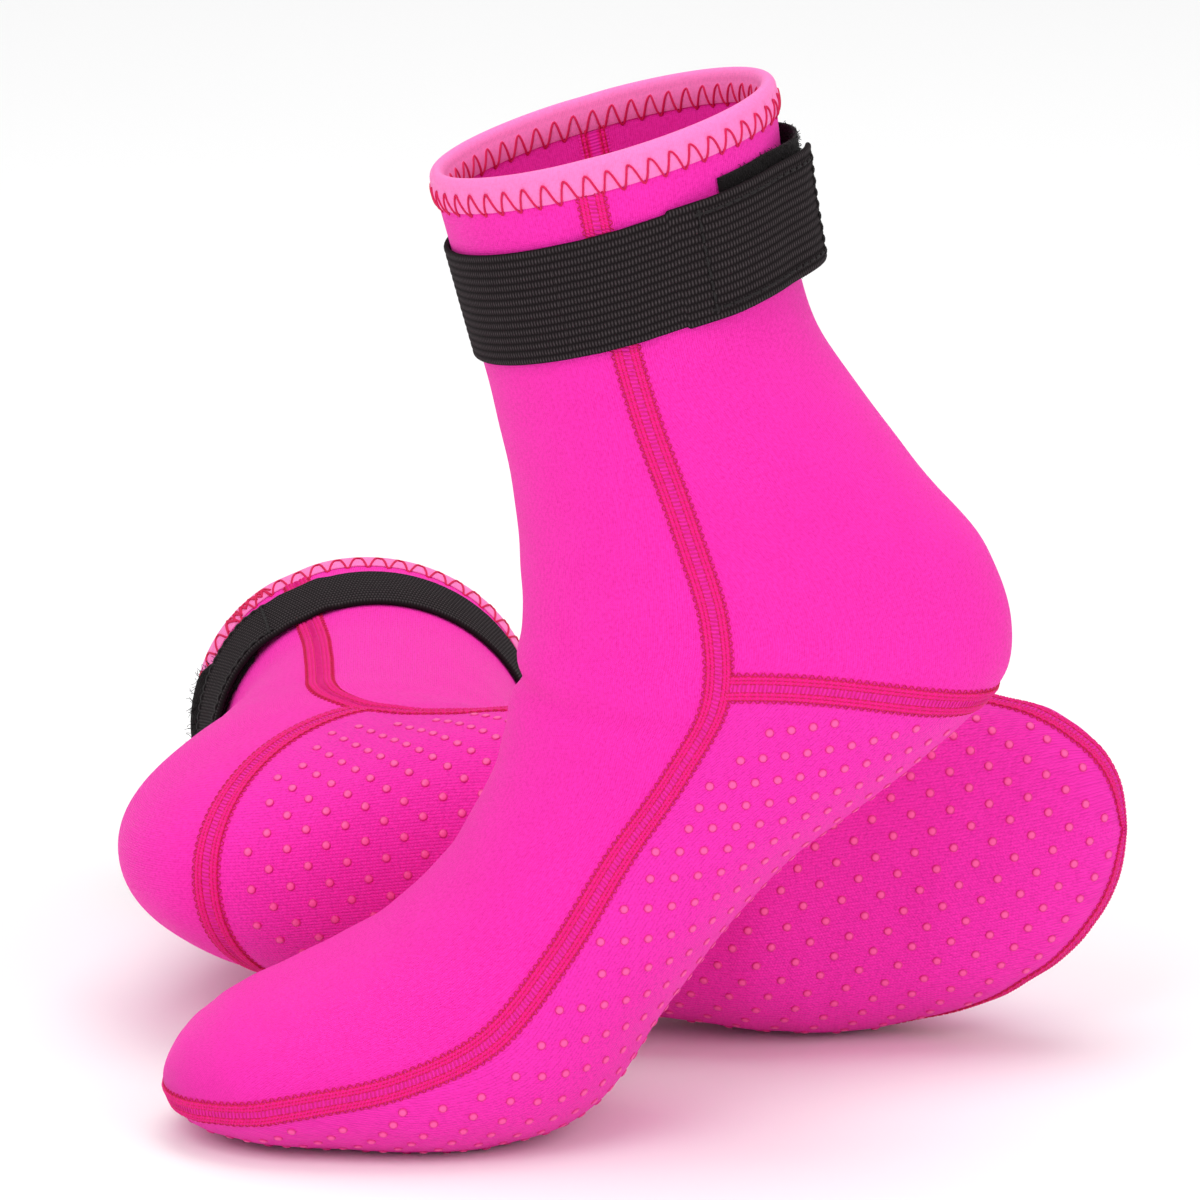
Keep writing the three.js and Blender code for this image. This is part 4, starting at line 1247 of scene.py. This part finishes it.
class BOOTS_OT_seams(bpy.types.Operator):
    """Sews the flatlock seams: their bands, needle lines, cover threads and edge stitches"""

    bl_idname = "boots.seams"
    bl_label = "Flatlock seams"

    def execute(self, context):
        for skin in SKINS:
            boot = skin.name
            long_path, heel_path = long_seam_path(skin), heel_seam_path(skin)
            seam_band(skin, "long_seam", long_path,
                      f"{boot}_inner_side_seam", f"{boot}_outer_side_seam", f"{boot}_foot_seam")
            seam_band(skin, "heel_band", heel_path, f"{boot}_heel_seam")
            paths = (long_path, heel_path)
            at = lambda *places, lift: [
                line for x in places for side in (-1, 1) for line in seam_lines(skin, paths, side * x, lift)]
            stitched(skin, "seam_needle_thread", at(*NEEDLE_LINES, lift=0.32), "needle", "flatlock_thread",
                     pitch=0.0021, length=0.0018, thread=0.00042, arch=0.00015)
            stitched(skin, "seam_cover_thread", at(*COVER_LINES, lift=0.44), "cover", "flatlock_thread",
                     pitch=0.0009, length=0.00115, thread=0.00046, arch=0.00014, slant=1.0)
            middle = seam_lines(skin, paths, 0.001, 0.36)
            stitched(skin, "seam_ladder_thread", middle, "ladder", "flatlock_thread",
                     pitch=0.0011, length=0.0019, thread=0.00046, arch=0.00014, slant=1.35)
            stitched(skin, "seam_edge_thread", at(EDGE_LINE, lift=0.12), "needle", "flatlock_thread",
                     pitch=0.00105, length=0.0012, thread=0.0003, arch=0.00014, zigzag=0.9)
            self.inside(skin)
        return {"FINISHED"}

    def inside(self, skin):
        """The side seams' inner face, which shows through the cuff's opening."""
        down = np.linspace(BINDING_DEPTH + 0.3, 75, 70)[:, None]
        x = np.linspace(-4.2, 4.2, 29)[None, :]
        lines = []
        for side, name in ((-1, "inner"), (1, "outer")):
            share = side * (skin.seam_at(0.0) + x / 118)
            station = skin.below_cuff(share, down)
            share = side * (skin.seam(station) + x / skin.girth(station))
            cords = np.exp(-(((np.abs(x) - 3.0) / 0.9) ** 4)) + 0 * station
            piece = shell(f"{skin.name}_{name}_seam_lining", skin, station, share,
                          -3.2 - 0.35 * cords, -2.9, finish("band"))
            dress(piece, f"{skin.name}_boot", "flatlock_thread")
            for column in (3, 7, 21, 25):
                place = station[:, column], share[:, column]
                lines.append((skin.layer(*place, -3.5), -skin.lay(*place)))
        stitched(skin, "seam_lining_thread", lines, "needle", "flatlock_thread",
                 pitch=0.0021, length=0.0019, thread=0.0005, arch=0.00012)


class BOOTS_OT_cuffs(bpy.types.Operator):
    """Binds both cuffs with folded tape and sews it down with a zigzag"""

    bl_idname = "boots.cuffs"
    bl_label = "Bound cuffs"

    columns = 540
    tip = 3.9                        # cuff's edge to the zigzag's upper needle holes
    toe = 9.9                        # and to its lower ones

    def execute(self, context):
        for skin in SKINS:
            self.bind(skin)
            self.sew(skin, context.scene.boot_sizes.zigzag_pitch / MM)
        return {"FINISHED"}

    def holes(self, skin, pitch):
        """Shares and drops of the needle holes, up and down in turn."""
        count = int(round(2 * skin.girth_at(0.0) / pitch))
        k = np.arange(2 * count)
        share = (k + (k % 2) * 0.34) / count - 1
        return share, np.where(k % 2, self.tip, self.toe)

    def bind(self, skin):
        """The tape's section: down its outer face, under, up inside and round the fold."""
        share = np.linspace(-1, 1, self.columns, endpoint=False)[:, None]
        depth = np.linspace(BINDING_DEPTH, FOLD_DEPTH, 14)
        plump = tape_rise(depth)
        angle, half = np.linspace(0, np.pi, 17)[1:-1], NEOPRENE / 2
        face = list(zip(depth, plump))
        fold = [
            (FOLD_DEPTH - FOLD_DEPTH * np.sin(t) * 0.98, -half + (half + plump[-1]) * np.cos(t))
            for t in angle]
        inner = [(d, -NEOPRENE - p) for d, p in zip(depth[::-1], plump[::-1])]
        hidden = [(9.0, -3.12), (5.0, -3.12), (1.3, -3.1), (1.3, 0.1), (5.0, 0.12), (9.0, 0.12)]
        section = np.array(face + fold + inner + hidden)
        drop = np.broadcast_to(section[None, :, 0], (self.columns, len(section)))
        station = skin.below_cuff(share, drop)
        wide = np.broadcast_to(share, station.shape)
        points = skin.layer(station, wide, section[None, :, 1] + 0 * station)
        holes, drops = self.holes(skin, 5.6)
        pinch = np.zeros_like(station)
        shown = np.arange(len(section)) < len(face)
        girth = skin.girth_at(0.0)
        for hole, low in zip(holes, drops):
            near = np.hypot((wrap(wide - hole)) * girth, (drop - low))
            pinch = np.maximum(pinch, np.exp(-((near / 1.1) ** 2)))
        sink = skin.lay(station, wide) * (0.38 * pinch * shown[None, :])[..., None]
        points = points - sink
        around = np.concatenate([[0], np.cumsum(np.hypot(*np.diff(section, axis=0).T))])
        length = np.linspace(0, 2 * girth, self.columns + 1)
        cut = np.stack(np.broadcast_arrays(around[None, :], length[:, None]), axis=-1)
        piece = tube(f"{skin.name}_cuff_tape", points, cut, finish("tape"))
        dress(piece, f"{skin.name}_boot", "binding_tape", f"{skin.name}_cuff_binding")
        cloth(piece, "folded")

    def sew(self, skin, pitch):
        """One thread through all the holes, outside and inside, its peaks rounded."""
        share, drop = self.holes(skin, pitch)
        share, drop = np.append(share, share[0] + 2), np.append(drop, drop[0])
        lines = []
        for side in (0, 1):
            steps = 9
            f = np.linspace(0, 1, steps, endpoint=False)
            along = np.concatenate([mix(a, b, f) for a, b in zip(share[:-1], share[1:])])
            rounded = 0.5 - 0.5 * np.cos(np.pi * f**0.85)
            down = np.concatenate([mix(a, b, rounded) for a, b in zip(drop[:-1], drop[1:])])
            bow = np.tile(np.sin(np.pi * f), len(share) - 1)
            height = np.where(down < BINDING_DEPTH, tape_rise(down), 0.12) - 0.1 + 0.26 * bow
            station = skin.below_cuff(wrap(along), down)
            offset = height if side == 0 else -3.0 - height
            points = skin.layer(station, wrap(along), offset)
            lay = skin.lay(station, wrap(along))
            lines.append((np.concatenate([points, points[:1]]), np.concatenate([lay, lay[:1]])))
        if skin.lies:
            lines += [self.splice(skin, seed) for seed in (2, 5)]
        tree = group("thread along a line", thread_tree)
        piece = grow(f"{skin.name}_cuff_zigzag_thread", line_source(lines), tree,
                     finish("crimson"), thread=0.0006)
        dress(piece, f"{skin.name}_boot", "crimson_thread", f"{skin.name}_cuff_zigzag_stitch")

    def splice(self, skin, seed):
        """The uneven stitches that close the tape's ring."""
        chance = np.random.default_rng(seed)
        share = np.linspace(-0.63, -0.745, 13) + chance.normal(0, 0.004, 13)
        drop = np.where(np.arange(13) % 2, 4.2, 8.4) + chance.normal(0, 0.8, 13)
        f = np.linspace(0, 12, 97)
        along, down = np.interp(f, np.arange(13), share), np.interp(f, np.arange(13), drop)
        station = skin.below_cuff(along, down)
        return skin.layer(station, along, tape_rise(down) + 0.15), skin.lay(station, along)


class BOOTS_OT_dots(bpy.types.Operator):
    """Prints rubber grip dots on both soles, staggered"""

    bl_idname = "boots.dots"
    bl_label = "Grip dots"

    def execute(self, context):
        pitch = context.scene.boot_sizes.dot_pitch / MM
        for skin in SKINS:
            points, lays = self.places(skin, pitch)
            mesh = bpy.data.meshes.new("dots")
            mesh.from_pydata((points * MM).tolist(), [], [])
            store(mesh, "lay", lays)
            tree = group("grip dots", dot_tree)
            piece = grow(f"{skin.name}_grip_dots", link("dots", mesh), tree, finish("dots"),
                         diameter=context.scene.boot_sizes.dot_diameter, height=DOT_HEIGHT * MM)
            dress(piece, f"{skin.name}_boot", "dotted_sole_knit")
        return {"FINISHED"}

    def places(self, skin, pitch):
        """A staggered lattice along the sole, measured out from its ball and clear of the seams."""
        stations = np.linspace(HEEL_SEAM_SIDE, PANEL_END, 500)
        girth, seam = skin.girth(stations), skin.seam(stations)
        room = (1 - seam) * girth - DOT_CLEARANCE
        found = []
        for column in range(-14, 15):
            v = column * pitch / 2
            share = 1 - v / girth
            points = skin.bare(stations, share)
            reach = travelled(points)
            reach -= np.interp(10, stations, reach)
            first = np.ceil(reach[0] / pitch)
            steps = np.arange(first, reach[-1] / pitch) + (column % 2) / 2
            for u in steps * pitch + 0.14 * v:
                station = np.interp(u, reach, stations)
                if reach[0] < u < reach[-1] and abs(v) < np.interp(station, stations, room):
                    found.append((station, 1 - v / np.interp(station, stations, girth)))
        station, share = np.array(found).T
        w = skin.round_heel(station, wrap(share))
        clear = (station - heel_station(w)) * HEEL_STEP > DOT_CLEARANCE
        station, share = station[clear], share[clear]
        return skin.layer(station, share, 0.02), skin.lay(station, share)


class BOOTS_OT_straps(bpy.types.Operator):
    """Wraps the ankle straps and their tabs, each length crossing one hinge"""

    bl_idname = "boots.straps"
    bl_label = "Ankle straps"

    def execute(self, context):
        for skin in SKINS:
            boot, strap, tab = (f"{skin.name}_{part}" for part in ("boot", "strap", "tab"))
            girth = skin.girth_at(STRAP_STATION)
            band = strap_piece(skin, "strap_band", STRAP_ANCHOR, FREE_MIDDLE, "elastic", 2.0, columns=240)
            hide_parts(f"{skin.name}_ankle_strap", f"{skin.name}_strap_free_length")
            cloth(band, "stretched")
            blend_over(band, skin, STRAP_HINGE)
            wider = 0.0 if skin.lies else 0.8
            step = lambda share: wider * ease(0.598, 0.606, -share)
            end = strap_piece(skin, "strap_end", FREE_MIDDLE, TAB_END, "elastic", 2.0, step)
            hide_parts(f"{skin.name}_strap_tab")
            cloth(end, "stretched")
            blend_over(end, skin, TAB_HINGE)
            girth_margin = TAPE_MARGIN / girth
            box = box_lines(skin, TAB_STITCH_START, TAB_END + girth_margin, 0.12)
            stitched(skin, "tab_thread", box, "black", "black_thread", body=tab,
                     nodes=(f"{skin.name}_tab_box_stitch",), pitch=0.0028, length=0.0023,
                     thread=0.0008, arch=0.0002)
            anchor = STRAP_ANCHOR - girth_margin
            box = box_lines(skin, anchor - ANCHOR_STITCH / girth, anchor, 0.12)
            stitched(skin, "anchor_thread", box, "black", "black_thread",
                     nodes=(f"{skin.name}_anchor_box_stitch",), pitch=0.0028, length=0.0023,
                     thread=0.0006, arch=0.00016)
        return {"FINISHED"}


class BOOTS_OT_tapes(bpy.types.Operator):
    """Sews the loop tape on each back and the hook tape under each tab"""

    bl_idname = "boots.tapes"
    bl_label = "Hook and loop tapes"

    def execute(self, context):
        pile = group("pile on a patch", pile_tree)
        for skin in SKINS:
            boot, tab = f"{skin.name}_boot", f"{skin.name}_tab"
            girth = skin.girth_at(STRAP_STATION)
            width = LOOP_WIDTH - 3 * skin.lies
            drop = lambda share, loose=3.5 * skin.lies: LOOP_DROP - loose * ease(0.78, 0.84, -share)
            loops = patch(skin, f"{skin.name}_loop_tape", LOOP_START, LOOP_END, drop,
                          width, 0.2, 1.2, "pile", curl=2.6 * skin.lies)
            dress(loops, boot, "loop_tape", f"{skin.name}_back_loop_patch")
            cloth(loops, "stretched")
            source = link("pile_source", loops.data.copy())
            fuzz = grow(f"{skin.name}_loop_pile", source, pile, finish("pile"), density=650000.0,
                        length=0.0019 if skin.lies else 0.0009, thread=0.00016, lean=1.0, seed=3)
            dress(fuzz, boot, "loop_tape")
            hooks = patch(skin, f"{skin.name}_hook_tape", HOOK_START, TAB_END + TAPE_MARGIN / girth,
                          lambda share: strap_drop(share) + TAPE_MARGIN, STRAP_WIDTH - 2 * TAPE_MARGIN,
                          1.9 - FASTENED * skin.lies, 2.7 - FASTENED * skin.lies, "hooks", 60)
            dress(hooks, tab, "hook_tape", f"{skin.name}_tab_hook_patch")
            cloth(hooks, "stretched")
            source = link("hook_source", hooks.data.copy())
            bristles = grow(f"{skin.name}_hook_bristles", source, pile, finish("hooks"),
                            density=350000.0, length=0.0007, thread=0.0002, lean=0.3, seed=8)
            dress(bristles, tab, "hook_tape")
        return {"FINISHED"}


STEPS = (
    BOOTS_OT_stage, BOOTS_OT_panels, BOOTS_OT_seams, BOOTS_OT_cuffs, BOOTS_OT_dots, BOOTS_OT_straps,
    BOOTS_OT_tapes,
)


class BOOTS_PT_build(bpy.types.Panel):
    """Lists the steps that build the pair"""

    bl_label = "Neoprene Boots"
    bl_idname = "BOOTS_PT_build"
    bl_space_type = "VIEW_3D"
    bl_region_type = "UI"
    bl_category = "Boots"

    def draw(self, context):
        for settings in (context.scene.boot_sizes, context.scene.boot_colours):
            for key in settings.bl_rna.properties.keys():
                if key not in ("rna_type", "name"):
                    self.layout.prop(settings, key)
        for step in STEPS:
            self.layout.operator(step.bl_idname)


CLASSES = (BootColours, BootSizes, *STEPS, BOOTS_PT_build)


def register():
    for each in CLASSES:
        bpy.utils.register_class(each)
    bpy.types.Scene.boot_colours = PointerProperty(type=BootColours)
    bpy.types.Scene.boot_sizes = PointerProperty(type=BootSizes)


def unregister():
    del bpy.types.Scene.boot_sizes
    del bpy.types.Scene.boot_colours
    for each in reversed(CLASSES):
        bpy.utils.unregister_class(each)


def main():
    register()
    bpy.ops.boots.stage()
    bpy.ops.boots.panels()
    bpy.ops.boots.seams()
    bpy.ops.boots.cuffs()
    bpy.ops.boots.dots()
    bpy.ops.boots.straps()
    bpy.ops.boots.tapes()


if __name__ == "__main__":
    main()
